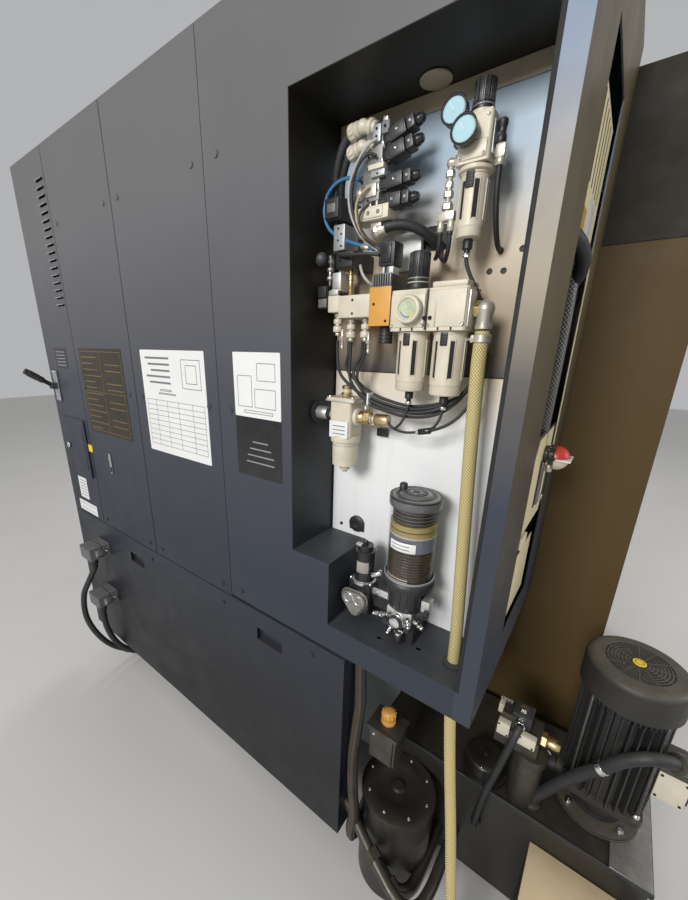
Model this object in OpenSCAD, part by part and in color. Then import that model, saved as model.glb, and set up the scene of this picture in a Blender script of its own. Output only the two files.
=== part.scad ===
// Compact vertical machining center with its rear electrical cabinet, open service recess
// and coolant tank. The front faces -Y, the service side faces +Y, the operator's right is +X.
// The origin is on the floor, at the centre of the four anchored levelling feet.

/* [Enclosure] */
// Width of the main enclosure
body_w = 2100; // [2080:10:2200]
// Distance from the origin to the enclosure's front skin
front_y = 965; // [960:5:1040]
// Distance from the origin to the enclosure's rear skin
back_y = 432; // [428:2:480]
// Height of the main enclosure
body_h = 2165; // [2150:5:2300]
// Height of the enclosure's lower edge above the floor
skirt_h = 60; // [40:5:100]
// Thickness of the sheet metal
skin = 3; // [2:0.5:4]
// Depth of a folded panel's edge
fold = 20; // [15:1:30]
// Height of the split between the two rear side panels
split_h = 1815; // [1600:5:1900]
// Gap between neighbouring cover panels
seam = 4; // [2:0.5:6]

/* [Rear cabinet] */
// Depth of the rear cabinet
cabinet_d = 618; // [560:2:680]
// Height of the rear cabinet
cabinet_h = 2200; // [2190:5:2300]
// Height of the seam between the upper covers and the lower panel
cabinet_floor = 818; // [780:2:840]
// Height of the lower panel's bottom edge
panel_bottom = 160; // [120:5:200]
// Distance from the machine's middle to the first cover seam
seam_a = 761; // [700:1:800]
// Distance from the machine's middle to the second cover seam
seam_b = 334; // [300:1:380]
// Distance from the machine's middle to the service box
seam_c = 100; // [60:1:140]
// Distance from the machine's middle to the service box's outer face
box_out = 838; // [820:1:880]
// Distance from the machine's middle to the lower panel's end
panel_end = 528; // [500:1:540]

/* [Service recess] */
// Depth of the recess
recess_d = 173; // [160:1:190]
// Distance from the machine's middle to the recess's inner side
recess_in = 357; // [345:1:362]
// Height of the recess's ceiling
recess_top = 2018; // [2010:1:2060]
// Height of the recess's shelf
shelf_h = 900; // [880:1:905]
// Height of the step beside the shelf
step_h = 1074; // [1040:1:1100]
// Width of the step beside the shelf
step_w = 116; // [90:1:118]
// Height of the service box's underside
box_bottom = 827; // [820:1:850]
// Side of the square corner post
post_w = 38; // [30:1:44]
// Height at which the upper valve plate ends and the lower plate begins
plate_split = 1514; // [1500:1:1530]

/* [Bed and column] */
// Width of the cast bed
bed_w = 1360; // [1300:10:1400]
// Height of the bed's rail seats
bed_top = 520; // [500:5:540]
// Distance from the origin to the bed's front
bed_front = 820; // [800:5:840]
// Width of the bed's tail under the cabinet
tail_w = 1060; // [1040:10:1080]
// Distance from the origin to the tail's end
tail_back = 680; // [670:5:700]
// Width of the sloping shoulders beside the rail seats
bed_slope = 150; // [120:5:170]
// Width of the column
column_w = 600; // [580:10:640]
// Distance from the origin to the column's front face
column_front = 90; // [86:1:100]
// Distance from the origin to the column's rear face
column_back = 400; // [380:5:420]
// Distance from the column's top to the top of the enclosure
column_gap = 175; // [145:5:185]
// Spacing of the levelling feet, side to side
foot_x = 960; // [900:10:980]
// Spacing of the levelling feet, front to back
foot_y = 1240; // [1200:10:1260]
// Diameter of an anchor hole
anchor_d = 18; // [14:1:22]

/* [Axes] */
// Distance from the origin to the spindle's axis
spindle_y = 400; // [390:2:410]
// Height of the spindle nose at rest
nose_h = 1360; // [1350:5:1400]
// Height of the work table's top
table_h = 800; // [795:1:810]
// Length of the work table
table_l = 900; // [800:10:940]
// Width of the work table
table_w = 400; // [380:10:420]
// Width of a table slot
slot_w = 18; // [12:1:22]
// Width of a guide rail
rail_w = 45; // [35:1:50]
// Height of a guide rail
rail_h = 40; // [36:1:42]
// Diameter of the ball screws
screw_d = 32; // [28:1:36]
// Side of a servo motor
servo_w = 120; // [100:5:124]
// Running clearance round a shaft
run = 0.05; // [0.02:0.01:0.1]
// Clearance between bodies that slide past each other
slip = 0.3; // [0.3:0.1:0.6]

/* [Front] */
// Width of one sliding door
door_w = 540; // [520:5:545]
// Height of a sliding door's lower edge
door_low = 727; // [700:1:760]
// Height of a sliding door's upper edge
door_high = 1903; // [1850:1:1930]
// Depth of a sliding door
door_d = 30; // [24:1:32]
// Diameter of a door handle's bar
handle_d = 22; // [18:1:28]
// Width of the control pendant
pendant_w = 285; // [260:5:300]
// Height of the control pendant
pendant_h = 600; // [540:10:640]

/* [Coolant] */
// Height of the coolant tank's lid
tank_h = 395; // [380:1:410]
// Distance from the machine's middle to the wash pump
pump_x = 1110; // [1100:1:1120]
// Distance from the cabinet's rear face to the wash pump
pump_in = 382; // [370:1:395]
// Diameter of the wash pump's fan cover
fan_cover_d = 208; // [196:2:214]
// Height of the wash pump's fan cover above the floor
pump_top = 870; // [850:5:900]
// Diameter of the cover's slotted field
grille_d = 136; // [110:2:150]

/* [Supply hose] */
// Outer diameter of the braided air supply hose
supply_d = 26; // [22:1:27]
// Outer diameter of a connector cable
cable_d = 25; // [18:1:28]

/* [Hidden] */
$fn = 48;
rear_y = back_y + cabinet_d;
side_x = body_w / 2;
foot_plate = 20;
column_foot = bed_top + 40;
column_h = body_h - column_gap;
block_low = 12;
block_h = 55;
saddle_low = bed_top + block_h;
saddle_t = 90;
saddle_top = saddle_low + saddle_t;
table_low = saddle_top + block_h;
y_screw_z = bed_top - 40;
x_screw_z = saddle_top - 15;
z_screw_y = column_front + 10;
journal_d = 25;
head_back = column_front - block_h;
head_low = nose_h + 130;
head_high = nose_h + 600;
recess_y = rear_y - recess_d;
plate_y = recess_y + skin;
unit_y = rear_y - 95;
unit_w = 74;
upper_w = 52;
upper_x = -686;
left_x = -600;
right_x = left_x - unit_w;

// Shared shapes

module box(a, b) {
  translate(a) cube(b - a);
}

module rod_x(p, l, d) {
  translate(p) rotate([0, 90, 0]) cylinder(h = l, d = d);
}

module rod_y(p, l, d) {
  translate(p) rotate([-90, 0, 0]) cylinder(h = l, d = d);
}

module rod_z(p, l, d) {
  translate(p) cylinder(h = l, d = d);
}

module round_rect(w, h, r) {
  square([w - 2 * r, h], center = true);
  square([w, h - 2 * r], center = true);
  for (sx = [-1, 1], sy = [-1, 1]) {
    translate([sx * (w / 2 - r), sy * (h / 2 - r)]) circle(r = r);
  }
}

module slab(p, w, d, h, r) {
  translate(p) linear_extrude(h) round_rect(w, d, r);
}

// A folded sheet panel: a shallow tray whose open side faces along the vector o
module tray(a, b, o) {
  t = [skin, skin, skin];
  difference() {
    box(a, b);
    box(
      [for (i = [0:2]) o[i] < 0 ? a[i] - 1 : a[i] + t[i]],
      [for (i = [0:2]) o[i] > 0 ? b[i] + 1 : b[i] - t[i]]
    );
  }
}

module screw_head(p) {
  rod_y(p, 3, 14);
}

// Linear guides

function rail_outline(c) = [
  [-rail_w / 2 - c, -1], [rail_w / 2 + c, -1], [rail_w / 2 + c, rail_h * 0.35],
  [rail_w / 2 - 5 + c, rail_h * 0.5], [rail_w / 2 + c, rail_h * 0.65], [rail_w / 2 + c, rail_h + c],
  [-rail_w / 2 - c, rail_h + c], [-rail_w / 2 - c, rail_h * 0.65],
  [-rail_w / 2 + 5 - c, rail_h * 0.5], [-rail_w / 2 - c, rail_h * 0.35]
];

module rail_bar(l) {
  linear_extrude(l) intersection() {
    polygon(rail_outline(0));
    translate([-rail_w, 0]) square([2 * rail_w, rail_h]);
  }
}

module rail_block() {
  translate([0, 0, -45]) linear_extrude(90) difference() {
    translate([-rail_w, block_low]) square([2 * rail_w, block_h - block_low]);
    polygon(rail_outline(slip));
  }
}

// Bed, feet and column

module foot_places() {
  for (sx = [-1, 1], sy = [-1, 1]) {
    translate([sx * foot_x / 2, sy * foot_y / 2, 0]) mirror([sx < 0 ? 1 : 0, 0, 0]) children();
  }
}

module leveling_feet() {
  color("dimgray") foot_places() {
    difference() {
      slab([15, 0, 0], 170, 90, foot_plate, 12);
      translate([70, 0, -1]) cylinder(h = foot_plate + 2, d = anchor_d);
    }
    rod_z([0, 0, foot_plate], skirt_h + 80 - foot_plate, 24);
    translate([0, 0, skirt_h - 18]) difference() {
      cylinder(h = 18, d = 42, $fn = 6);
      translate([0, 0, -1]) cylinder(h = 20, d = 24.1);
    }
  }
}

module base_casting() {
  trough = 60;
  color("slategray") difference() {
    union() {
      box([-bed_w / 2, -bed_front, skirt_h], [bed_w / 2, column_back, bed_top]);
      box([-tail_w / 2, column_back, skirt_h], [tail_w / 2, tail_back, bed_top]);
      box([-column_w / 2, column_front, bed_top], [column_w / 2, column_back, column_foot]);
    }
    box([-trough, 40 - bed_front, bed_top - 90], [trough, column_front - 70, bed_top + 1]);
    rod_y([0, -bed_front - 1, y_screw_z], bed_front + column_front, journal_d + 2 * run);
    for (sx = [-1, 1]) {
      box(
        [sx * bed_w * 0.32 - 150, -foot_y / 2 + 100, skirt_h - 1],
        [sx * bed_w * 0.32 + 150, column_front - 60, bed_top - 140]
      );
      translate([sx * bed_w / 2, -bed_front - 1, bed_top]) rotate([-90, 0, 0])
        linear_extrude(bed_front + column_back + 2)
          polygon([[-sx * bed_slope, 0], [-sx * bed_slope, -1], [sx, -1], [sx, bed_slope * 0.8]]);
    }
    foot_places() translate([0, 0, skirt_h - 1]) cylinder(h = 110, d = 25);
  }
}

module column() {
  color("slategray") difference() {
    box([-column_w / 2, column_front, column_foot], [column_w / 2, column_back, column_h]);
    box([-65, column_front - 1, column_foot + 80], [65, column_front + 70, column_h - 60]);
    translate([0, z_screw_y, column_foot + 40]) cylinder(h = column_h, d = journal_d + 2 * run);
    for (z = [column_foot + 120:330:column_h - 330]) {
      box(
        [-column_w / 2 + 70, column_front + 110, z],
        [column_w / 2 - 70, column_back + 1, z + 270]
      );
    }
    for (sx = [-1, 1], z = [column_foot + 190:330:column_h - 300]) {
      rod_x([sx * column_w / 2 - 50, column_front + 210, z + 65], 100, 130);
    }
  }
}

module fixed_guide_rails() {
  color("silver") for (sx = [-1, 1]) {
    translate([sx * 220, column_front - 60, bed_top]) rotate([90, 0, 0])
      rail_bar(bed_front + 10);
    translate([sx * 190, column_front, 900]) rotate([0, 0, 180]) rail_bar(column_h - 930);
  }
}

// A servo motor along +Z from its mounting face, with its round rear cap and plug
module servo(l) {
  linear_extrude(12) round_rect(servo_w, servo_w, 10);
  slab([0, 0, 12], servo_w - 14, servo_w - 14, l - 32, 14);
  cylinder(h = l, d = servo_w - 34);
  slab([0, servo_w / 2 - 10, l - 60], 34, 20 + 14, 34, 6);
}

module axis_servos() {
  color("black") {
    translate([0, -bed_front, y_screw_z]) rotate([90, 0, 0]) servo(125);
    translate([0, z_screw_y, column_h]) servo(130);
  }
}

module ball_screw(l, end) {
  cylinder(h = l, d = journal_d);
  translate([0, 0, end + 1]) cylinder(h = l - 2 * end - 2, d = screw_d);
}

module y_ball_screw() {
  color("silver") translate([0, -bed_front + 2, y_screw_z]) rotate([-90, 0, 0])
    ball_screw(bed_front + column_front - 34, 40);
}

module z_ball_screw() {
  color("silver") translate([0, z_screw_y, column_foot + 42])
    ball_screw(column_h - column_foot - 44, 60);
}

module x_ball_screw() {
  color("silver") translate([-538, -spindle_y, x_screw_z]) rotate([0, 90, 0])
    ball_screw(1076, 42);
}

// Saddle, table and head

module nut(p, turn, l) {
  translate(p) rotate(turn) difference() {
    cylinder(h = l, d = screw_d + 30, center = true);
    cylinder(h = l + 2, d = screw_d + 2 * run, center = true);
  }
}

module saddle() {
  long = 1080;
  deep = 420;
  color("gray") {
    difference() {
      union() {
        box([-long / 2, -spindle_y - deep / 2, saddle_low], [long / 2, deep / 2 - spindle_y, saddle_top]);
        for (sx = [-1, 1]) {
          box(
            [sx * (long / 2 - 20) - 20, -spindle_y - 45, saddle_top],
            [sx * (long / 2 - 20) + 20, 45 - spindle_y, saddle_top + 30]
          );
        }
      }
      box(
        [-long / 2 + 40, -spindle_y - 50, saddle_top - 55],
        [long / 2 - 40, 50 - spindle_y, saddle_top + 1]
      );
      rod_x([-long / 2 - 1, -spindle_y, x_screw_z], long + 2, journal_d + 2 * run);
      for (sx = [-1, 1]) {
        box(
          [sx * 400 - 100, -spindle_y - deep / 2 - 1, saddle_low - 1],
          [sx * 400 + 100, deep / 2 - spindle_y + 1, saddle_low + 30]
        );
      }
    }
    for (sx = [-1, 1], sy = [-1, 1]) {
      translate([sx * 220, sy * 130 - spindle_y, bed_top]) rotate([90, 0, 0]) rail_block();
    }
    difference() {
      box([-40, -spindle_y - 40, y_screw_z], [40, 40 - spindle_y, saddle_low]);
      rod_y([0, -spindle_y - 50, y_screw_z], 100, screw_d + 30 - 0.02);
    }
    nut([0, -spindle_y, y_screw_z], [90, 0, 0], 80);
    for (sy = [-1, 1]) {
      translate([-long / 2, sy * 150 - spindle_y, saddle_top]) rotate([90, 0, 90]) rail_bar(long);
    }
  }
}

module x_servo() {
  color("black") translate([540, -spindle_y, x_screw_z]) rotate([0, 90, 0])
    rotate([0, 0, -90]) servo(135);
}

module work_table() {
  color("darkgray") {
    difference() {
      box(
        [-table_l / 2, -spindle_y - table_w / 2, table_low],
        [table_l / 2, table_w / 2 - spindle_y, table_h]
      );
      for (i = [-1:1]) {
        box(
          [-table_l / 2 - 1, i * 100 - spindle_y - slot_w / 2, table_h - 32],
          [table_l / 2 + 1, i * 100 - spindle_y + slot_w / 2, table_h + 1]
        );
        box(
          [-table_l / 2 - 1, i * 100 - spindle_y - slot_w * 0.85, table_h - 32],
          [table_l / 2 + 1, i * 100 - spindle_y + slot_w * 0.85, table_h - 19]
        );
      }
    }
    for (sx = [-1, 1], sy = [-1, 1]) {
      translate([sx * 100, sy * 150 - spindle_y, saddle_top]) rotate([90, 0, 90]) rail_block();
    }
    difference() {
      box([-40, -spindle_y - 40, x_screw_z], [40, 40 - spindle_y, table_low]);
      rod_x([-50, -spindle_y, x_screw_z], 100, screw_d + 30 - 0.02);
    }
    nut([0, -spindle_y, x_screw_z], [0, 90, 0], 80);
  }
}

module spindle_head() {
  boom = 280;
  color("gainsboro") {
    difference() {
      union() {
        box([-240, head_back - 40, head_low], [240, head_back, head_high]);
        translate([0, 0, nose_h + 120]) linear_extrude(310) {
          translate([-boom / 2, -spindle_y]) square([boom, head_back + spindle_y - 20]);
          translate([0, -spindle_y]) circle(d = boom, $fn = 96);
        }
        rod_z([0, -spindle_y, nose_h + 40], 81, 170);
        translate([0, -spindle_y, nose_h + 22.3]) cylinder(h = 18, d1 = 140, d2 = 170, $fn = 96);
      }
      rod_z([0, -spindle_y, nose_h], 500, 70 + 2 * run);
    }
    for (sx = [-1, 1], z = [head_low + 90, head_high - 90]) {
      translate([sx * 190, column_front, z]) rotate([0, 0, 180]) rail_block();
    }
    difference() {
      box([-40, head_back, nose_h + 310], [40, z_screw_y, nose_h + 390]);
      rod_z([0, z_screw_y, nose_h + 300], 100, screw_d + 30 - 0.02);
    }
    nut([0, z_screw_y, nose_h + 350], [0, 0, 0], 80);
    for (a = [-140, -40]) {
      translate([0, -spindle_y, 0]) rotate([0, 0, a]) rod_z([100, 0, nose_h + 60], 60.5, 14);
    }
  }
}

module spindle_motor() {
  color("dimgray") {
    slab([0, -spindle_y, nose_h + 430], 200, 200, 20, 12);
    difference() {
      slab([0, -spindle_y, nose_h + 450], 184, 184, 190, 24);
      for (z = [nose_h + 470:20:nose_h + 620], s = [-1, 1]) {
        box([s * 92 - 6, -spindle_y - 60, z], [s * 92 + 6, 60 - spindle_y, z + 10]);
      }
    }
    rod_z([0, -spindle_y, nose_h + 640], 60, 110);
  }
}

module spindle() {
  color("silver") translate([0, -spindle_y, nose_h]) {
    rotate_extrude($fn = 96) polygon([
      [22.225, 0], [50, 0], [50, 18], [46, 22], [35, 22], [35, 420], [8.5, 420], [8.5, 95],
      [12.7, 95], [12.7, 65.4]
    ]);
    for (s = [-1, 1]) {
      box([s * 36 - 8, -8, -8], [s * 36 + 8, 8, 0]);
    }
  }
}

// Tool magazine beside the head

disc_x = 640;
disc_reach = 260;
disc_z = nose_h - 45;
pots = 16;
beam_z = nose_h + 80;

module magazine_bracket() {
  color("slategray") {
    box([-side_x + 65, -150, beam_z], [-column_w / 2 - 20, -90, beam_z + 120]);
    difference() {
      box([-column_w / 2 - 20, -150, beam_z], [-column_w / 2, 300, beam_z + 120]);
      for (y = [130, 260]) {
        rod_x([-column_w / 2 - 30, y, beam_z + 60], 40, 18);
      }
    }
    for (x = [-side_x + 65, -column_w / 2 - 40]) {
      difference() {
        box([x, -200, beam_z], [x + 20, -150, beam_z + 120]);
        for (z = [25, 95]) {
          rod_x([x - 1, -175, beam_z + z], 22, 25);
        }
      }
    }
    for (z = [25, 95]) {
      rod_x([-side_x + 65, -175, beam_z + z], side_x - 65 - column_w / 2 - 20, 25);
    }
  }
}

module magazine_carriage() {
  color("lightslategray") {
    difference() {
      box([-disc_x - 300, -203, beam_z + 5], [-disc_x - 140, -152, beam_z + 115]);
      for (z = [25, 95]) {
        rod_x([-disc_x - 301, -175, beam_z + z], 162, 25 + 2 * run);
      }
    }
    difference() {
      box([-disc_x - 300, -spindle_y - 70, beam_z - 15], [-disc_x + 60, -203, beam_z + 5]);
      rod_z([-disc_x, -spindle_y, beam_z - 20], 30, 40 + 2 * run);
    }
    box([-disc_x - 300, -203, beam_z - 15], [-disc_x - 140, -152, beam_z + 5]);
    difference() {
      rod_z([-disc_x, -spindle_y, beam_z + 5], 100, 96);
      rod_z([-disc_x, -spindle_y, beam_z], 60, 40 + 2 * run);
    }
  }
}

module tool_disc() {
  color("silver") translate([-disc_x, -spindle_y, disc_z]) {
    rod_z([0, 0, 20], beam_z - 15 - slip - disc_z - 20, 150);
    rod_z([0, 0, 20], beam_z + 30 - disc_z, 40);
    cylinder(h = 20, r = disc_reach - 70, $fn = 96);
    for (i = [0:pots - 1]) {
      rotate([0, 0, i * 360 / pots]) difference() {
        box([disc_reach - 75, -34, 2], [disc_reach + 18, 34, 18]);
        translate([disc_reach, 0, 0]) cylinder(h = 40, d = 50);
        box([disc_reach, -22, 0], [disc_reach + 20, 22, 40]);
      }
    }
  }
}

// Main enclosure

module left_side_panel() {
  color("darkslategray") tray(
    [-side_x, fold - front_y, skirt_h],
    [-side_x + fold, back_y - fold, body_h],
    [1, 0, 0]
  );
}

module right_side_panel() {
  color("darkslategray") tray(
    [side_x - fold, fold - front_y, skirt_h],
    [side_x, back_y - fold, body_h],
    [-1, 0, 0]
  );
}

module roof_panel() {
  color("darkslategray") tray(
    [-side_x + fold, fold - front_y, body_h - fold],
    [side_x - fold, back_y - fold, body_h],
    [0, 0, -1]
  );
}

module enclosure_back_panel() {
  color("darkslategray") difference() {
    tray([-side_x, back_y - fold, skirt_h], [side_x, back_y, body_h], [0, -1, 0]);
    box([-tail_w / 2 - 0.5, back_y - fold - 1, skirt_h - 1], [tail_w / 2 + 0.5, back_y + 1, bed_top + 0.5]);
    box([-side_x - 1, back_y - 1.5, split_h], [-box_out, back_y + 1, split_h + 3]);
  }
  color("black") for (x = cable_x) {
    rod_y([x, back_y, cable_low], 12, cable_d + 10);
  }
}

module front_fascia() {
  open_x = door_w - 40;
  color("darkslategray") {
    difference() {
      tray([-side_x, -front_y, skirt_h], [side_x, fold - front_y, body_h], [0, 1, 0]);
      box([-open_x, -front_y - 1, door_low + 35], [open_x, fold - front_y + 1, door_high - 35]);
    }
    for (z = [door_low - slip - fold, door_high + slip]) {
      box([-side_x + 5, -front_y - door_d - 5, z], [side_x - 5, -front_y, z + fold]);
    }
    box([pivot_x - 34, pendant_y - 34, pendant_hang + slip], [pivot_x + 34, -front_y, pendant_hang + 34]);
    rod_z([pivot_x, pendant_y, pendant_hang - 50], 60, 20);
  }
}

module door_panel() {
  y0 = -front_y - slip - door_d;
  y1 = -front_y - slip;
  color("gainsboro") {
    difference() {
      tray([1, y0, door_low], [door_w, y1, door_high], [0, 1, 0]);
      translate([door_w / 2 + 30, y0 - 1, (door_low + door_high) / 2 + 40]) rotate([-90, 0, 0])
        linear_extrude(10) round_rect(door_w - 180, 700, 40);
    }
    translate([door_w / 2 + 30, y0 + skin, (door_low + door_high) / 2 + 40]) rotate([-90, 0, 0])
      linear_extrude(8) round_rect(door_w - 150, 730, 50);
    rod_z([50, y0 - 42, 1180], 320, handle_d);
    for (z = [1210, 1470]) {
      rod_y([50, y0 - 42 + handle_d / 2 - 2, z], 42 - handle_d / 2 + 2, 14);
    }
  }
}

module right_front_door() {
  door_panel();
}

module left_front_door() {
  mirror([1, 0, 0]) door_panel();
}

module chip_pan() {
  pan_in = bed_w / 2 - bed_slope;
  pan_out = side_x - fold - 0.5;
  color("gray") for (sx = [-1, 1]) {
    mirror([sx < 0 ? 1 : 0, 0, 0]) translate([0, column_front - 10, 0]) rotate([90, 0, 0])
      linear_extrude(front_y + column_front - fold - 14) polygon([
        [pan_in - 30, bed_top], [pan_in, bed_top], [pan_out, bed_top + 120],
        [pan_out, bed_top + 124], [pan_in - 1, bed_top + 4], [pan_in - 30, bed_top + 4]
      ]);
  }
}

// Control pendant, hung from a swivel at the right of the doors

pendant_x = 975;
pendant_y = -front_y - 85;
pendant_top = 1600;
pivot_x = pendant_x - 20;
pendant_hang = door_high + fold + 8;

module control_pendant() {
  x0 = pendant_x + 10 - pendant_w;
  z0 = pendant_top - pendant_h;
  color("lightgray") {
    difference() {
      rod_z([pivot_x, pendant_y, pendant_top], pendant_hang - pendant_top, 42);
      rod_z([pivot_x, pendant_y, pendant_hang - 60], 61, 20 + 2 * run);
    }
    difference() {
      box([x0, pendant_y - 45, z0], [x0 + pendant_w, pendant_y + 38, pendant_top]);
      box([x0 + 20, pendant_y - 46, z0 + 330], [x0 + pendant_w - 20, pendant_y - 42, pendant_top - 30]);
      rod_y([x0 + 45, pendant_y - 46, z0 + 60], 30, 18 + 2 * run);
    }
    box([x0 + 25, pendant_y - 43, z0 + 335], [x0 + pendant_w - 25, pendant_y - 42, pendant_top - 35]);
    for (i = [0:5], j = [0:4]) {
      box(
        [x0 + 90 + i * 28, pendant_y - 49, z0 + 110 + j * 38],
        [x0 + 110 + i * 28, pendant_y - 45, z0 + 138 + j * 38]
      );
    }
  }
}

module emergency_stop() {
  color("red") translate([pendant_x + 55 - pendant_w, pendant_y - 45, pendant_top - pendant_h + 60])
    rotate([90, 0, 0]) {
      translate([0, 0, -24]) cylinder(h = 36, d = 18);
      translate([0, 0, 10]) cylinder(h = 14, d1 = 30, d2 = 40);
      translate([0, 0, 24]) cylinder(h = 6, d1 = 40, d2 = 34);
    }
}

// Rear electrical cabinet

module cabinet_shell() {
  color("darkslategray") {
    difference() {
      box([-seam_c, back_y, cabinet_floor], [side_x, rear_y - fold, cabinet_h]);
      box(
        [skin - seam_c, back_y + skin, cabinet_floor + skin],
        [side_x - skin, rear_y - fold - skin, cabinet_h - skin]
      );
    }
    post(side_x - 60, cabinet_floor);
  }
}

// A square post that carries the lower panel, its top at height z
module post(x, z) {
  box([x, rear_y - fold - 40, panel_bottom], [x + 40, rear_y - fold, z]);
}

module cover(x0, x1) {
  color("darkslategray") {
    tray(
      [x0 + seam / 2, rear_y - fold, cabinet_floor + seam / 2],
      [x1 - seam / 2, rear_y, cabinet_h],
      [0, -1, 0]
    );
    for (z = [cabinet_floor + 30, cabinet_floor + 592, cabinet_h - 235], x = [x0 + 44, x1 - 40]) {
      screw_head([x, rear_y, z]);
    }
  }
}

module cabinet_cover_a() {
  cover(seam_b, seam_a);
}

module cabinet_cover_b() {
  cover(-seam_c, seam_b);
}

louvre_x = 805;
louvre_w = 60;
flap_x = 890;
flap_z = 1145;
flap_w = 200;
flap_h = 250;
hinge_x = flap_x - flap_w / 2;
hinge_y = rear_y + 5 + slip;
lever_x = 990;
lever_z = 1400;
lever_y = rear_y + 18;

module strip_panel() {
  color("darkslategray") difference() {
    tray(
      [seam_a + seam / 2, rear_y - fold, cabinet_floor + seam / 2],
      [side_x, rear_y, cabinet_h],
      [0, -1, 0]
    );
    for (i = [0:16]) {
      box(
        [louvre_x - louvre_w / 2, rear_y - skin - 1, 1706 + i * 25],
        [louvre_x + louvre_w / 2, rear_y + 1, 1714 + i * 25]
      );
    }
    box(
      [hinge_x + 14, rear_y - skin - 1, flap_z - flap_h / 2 + 14],
      [hinge_x + flap_w - 14, rear_y + 1, flap_z + flap_h / 2 - 14]
    );
  }
  color("dimgray") {
    for (z = [flap_z - flap_h / 2, flap_z + flap_h / 2 - 10]) {
      box([hinge_x - 4, rear_y, z], [hinge_x + 4, hinge_y, z + 10]);
      rod_z([hinge_x, hinge_y, z], 10, 8);
    }
    rod_z([hinge_x, hinge_y, flap_z - flap_h / 2 + 2], flap_h - 4, 4);
    for (z = [flap_z - 50, flap_z + 10]) {
      box([flap_x - 40, rear_y - fold, z], [flap_x + 20, rear_y - fold + 8, z + 40]);
    }
  }
  color("silver") {
    box([lever_x - 24, rear_y, lever_z - 64], [lever_x + 24, rear_y + 5, lever_z + 64]);
    for (sx = [-1, 1]) {
      box(
        [lever_x + sx * (12 + slip) - 3, rear_y + 5, lever_z - 12],
        [lever_x + sx * (12 + slip) + 3, lever_y + 10, lever_z + 12]
      );
    }
    rod_x([lever_x - 14, lever_y, lever_z], 28, 8);
  }
}

module access_flap() {
  low = flap_z - flap_h / 2;
  color("dimgray") {
    difference() {
      union() {
        rod_z([hinge_x, hinge_y, low + 10 + slip], flap_h - 20 - 2 * slip, 8);
        box([hinge_x, rear_y + slip, low + 10 + slip], [hinge_x + 8, hinge_y, low + flap_h - 10 - slip]);
        box([hinge_x + 4 + slip, rear_y + slip, low], [hinge_x + flap_w, rear_y + 4, low + flap_h]);
      }
      rod_z([hinge_x, hinge_y, low], flap_h, 4 + 2 * run);
    }
    rod_y([hinge_x + flap_w - 26, rear_y + 4, flap_z], 6, 24);
  }
}

module disconnect_lever() {
  color("black") translate([lever_x, lever_y, lever_z]) rotate([35, 0, 0]) difference() {
    union() {
      rod_x([-9, 0, 0], 18, 22);
      box([-7, 0, -8], [7, 60, 8]);
      rod_y([0, 50, 0], 62, 24);
    }
    rod_x([-10, 0, 0], 20, 8 + 2 * run);
  }
}

module pull(x, z) {
  box([x - 52, rear_y - skin - 1, z - 22], [x + 52, rear_y + 1, z + 22]);
}

module lower_rear_panel() {
  color("darkslategray") {
    difference() {
      tray(
        [-panel_end, rear_y - fold, panel_bottom],
        [side_x, rear_y, cabinet_floor - seam / 2],
        [0, -1, 0]
      );
      pull(503, 727);
      pull(-260, 735);
    }
    for (p = [[503, 727], [-260, 735]]) {
      tray([p.x - 56, rear_y - skin - 14, p.y - 26], [p.x + 56, rear_y - skin, p.y + 26], [0, 1, 0]);
    }
    for (x = [381, -52, -423]) {
      screw_head([x, rear_y, 775]);
    }
  }
}

// Service box with its open recess, step and shelf

module service_box() {
  side = -box_out;
  in_x = -recess_in;
  step_x = -recess_in - step_w;
  color("darkslategray") {
    difference() {
      box([side, back_y, box_bottom], [-seam_c, rear_y, cabinet_h]);
      box(
        [side + skin, back_y + skin, box_bottom + skin],
        [-seam_c - skin, recess_y - skin, cabinet_h - skin]
      );
      box([in_x + skin, recess_y, box_bottom + skin], [-seam_c - skin, rear_y - skin, cabinet_h - skin]);
      box([side + skin, recess_y, box_bottom + skin], [in_x + 2 * skin, rear_y - skin, shelf_h - skin]);
      box([step_x + skin, recess_y, box_bottom + skin], [in_x + 2 * skin, rear_y - skin, step_h - skin]);
      box([side + skin, recess_y, recess_top + skin], [in_x + 2 * skin, rear_y - skin, cabinet_h - skin]);
      box([side + skin, recess_y, shelf_h], [step_x, rear_y + 1, recess_top]);
      box([step_x - 1, recess_y, step_h], [in_x, rear_y + 1, recess_top]);
      box([side - 1, rear_y - 460, 930], [side + skin + 1, rear_y - 200, 2045]);
      rod_z([hose_x, hose_y, box_bottom - 1], shelf_h - box_bottom + 2, supply_d + 12);
      for (p = [[-600, 1010], [-690, 985]]) {
        rod_z([p.x, p.y, shelf_h - skin - 1], skin + 2, 12);
      }
    }
    difference() {
      box([side + skin, rear_y - post_w, shelf_h], [side + post_w, rear_y, recess_top]);
      box(
        [side + 2 * skin, rear_y - post_w + skin, shelf_h - 1],
        [side + post_w - skin, rear_y - skin, recess_top + 1]
      );
    }
    post(-panel_end, box_bottom);
    for (z = [box_bottom + 30, box_bottom + 583, cabinet_h - 235]) {
      screw_head([-seam_c - 46, rear_y, z]);
    }
    difference() {
      box([side + skin, rear_y - 480, 1180], [side + 2 * skin, rear_y - 180, 1400]);
      box([side, lock_y - 24, lock_z - 34], [side + 3 * skin, lock_y + 24, lock_z + 34]);
    }
  }
}

hose_x = -770;
hose_y = rear_y - 76;

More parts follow.
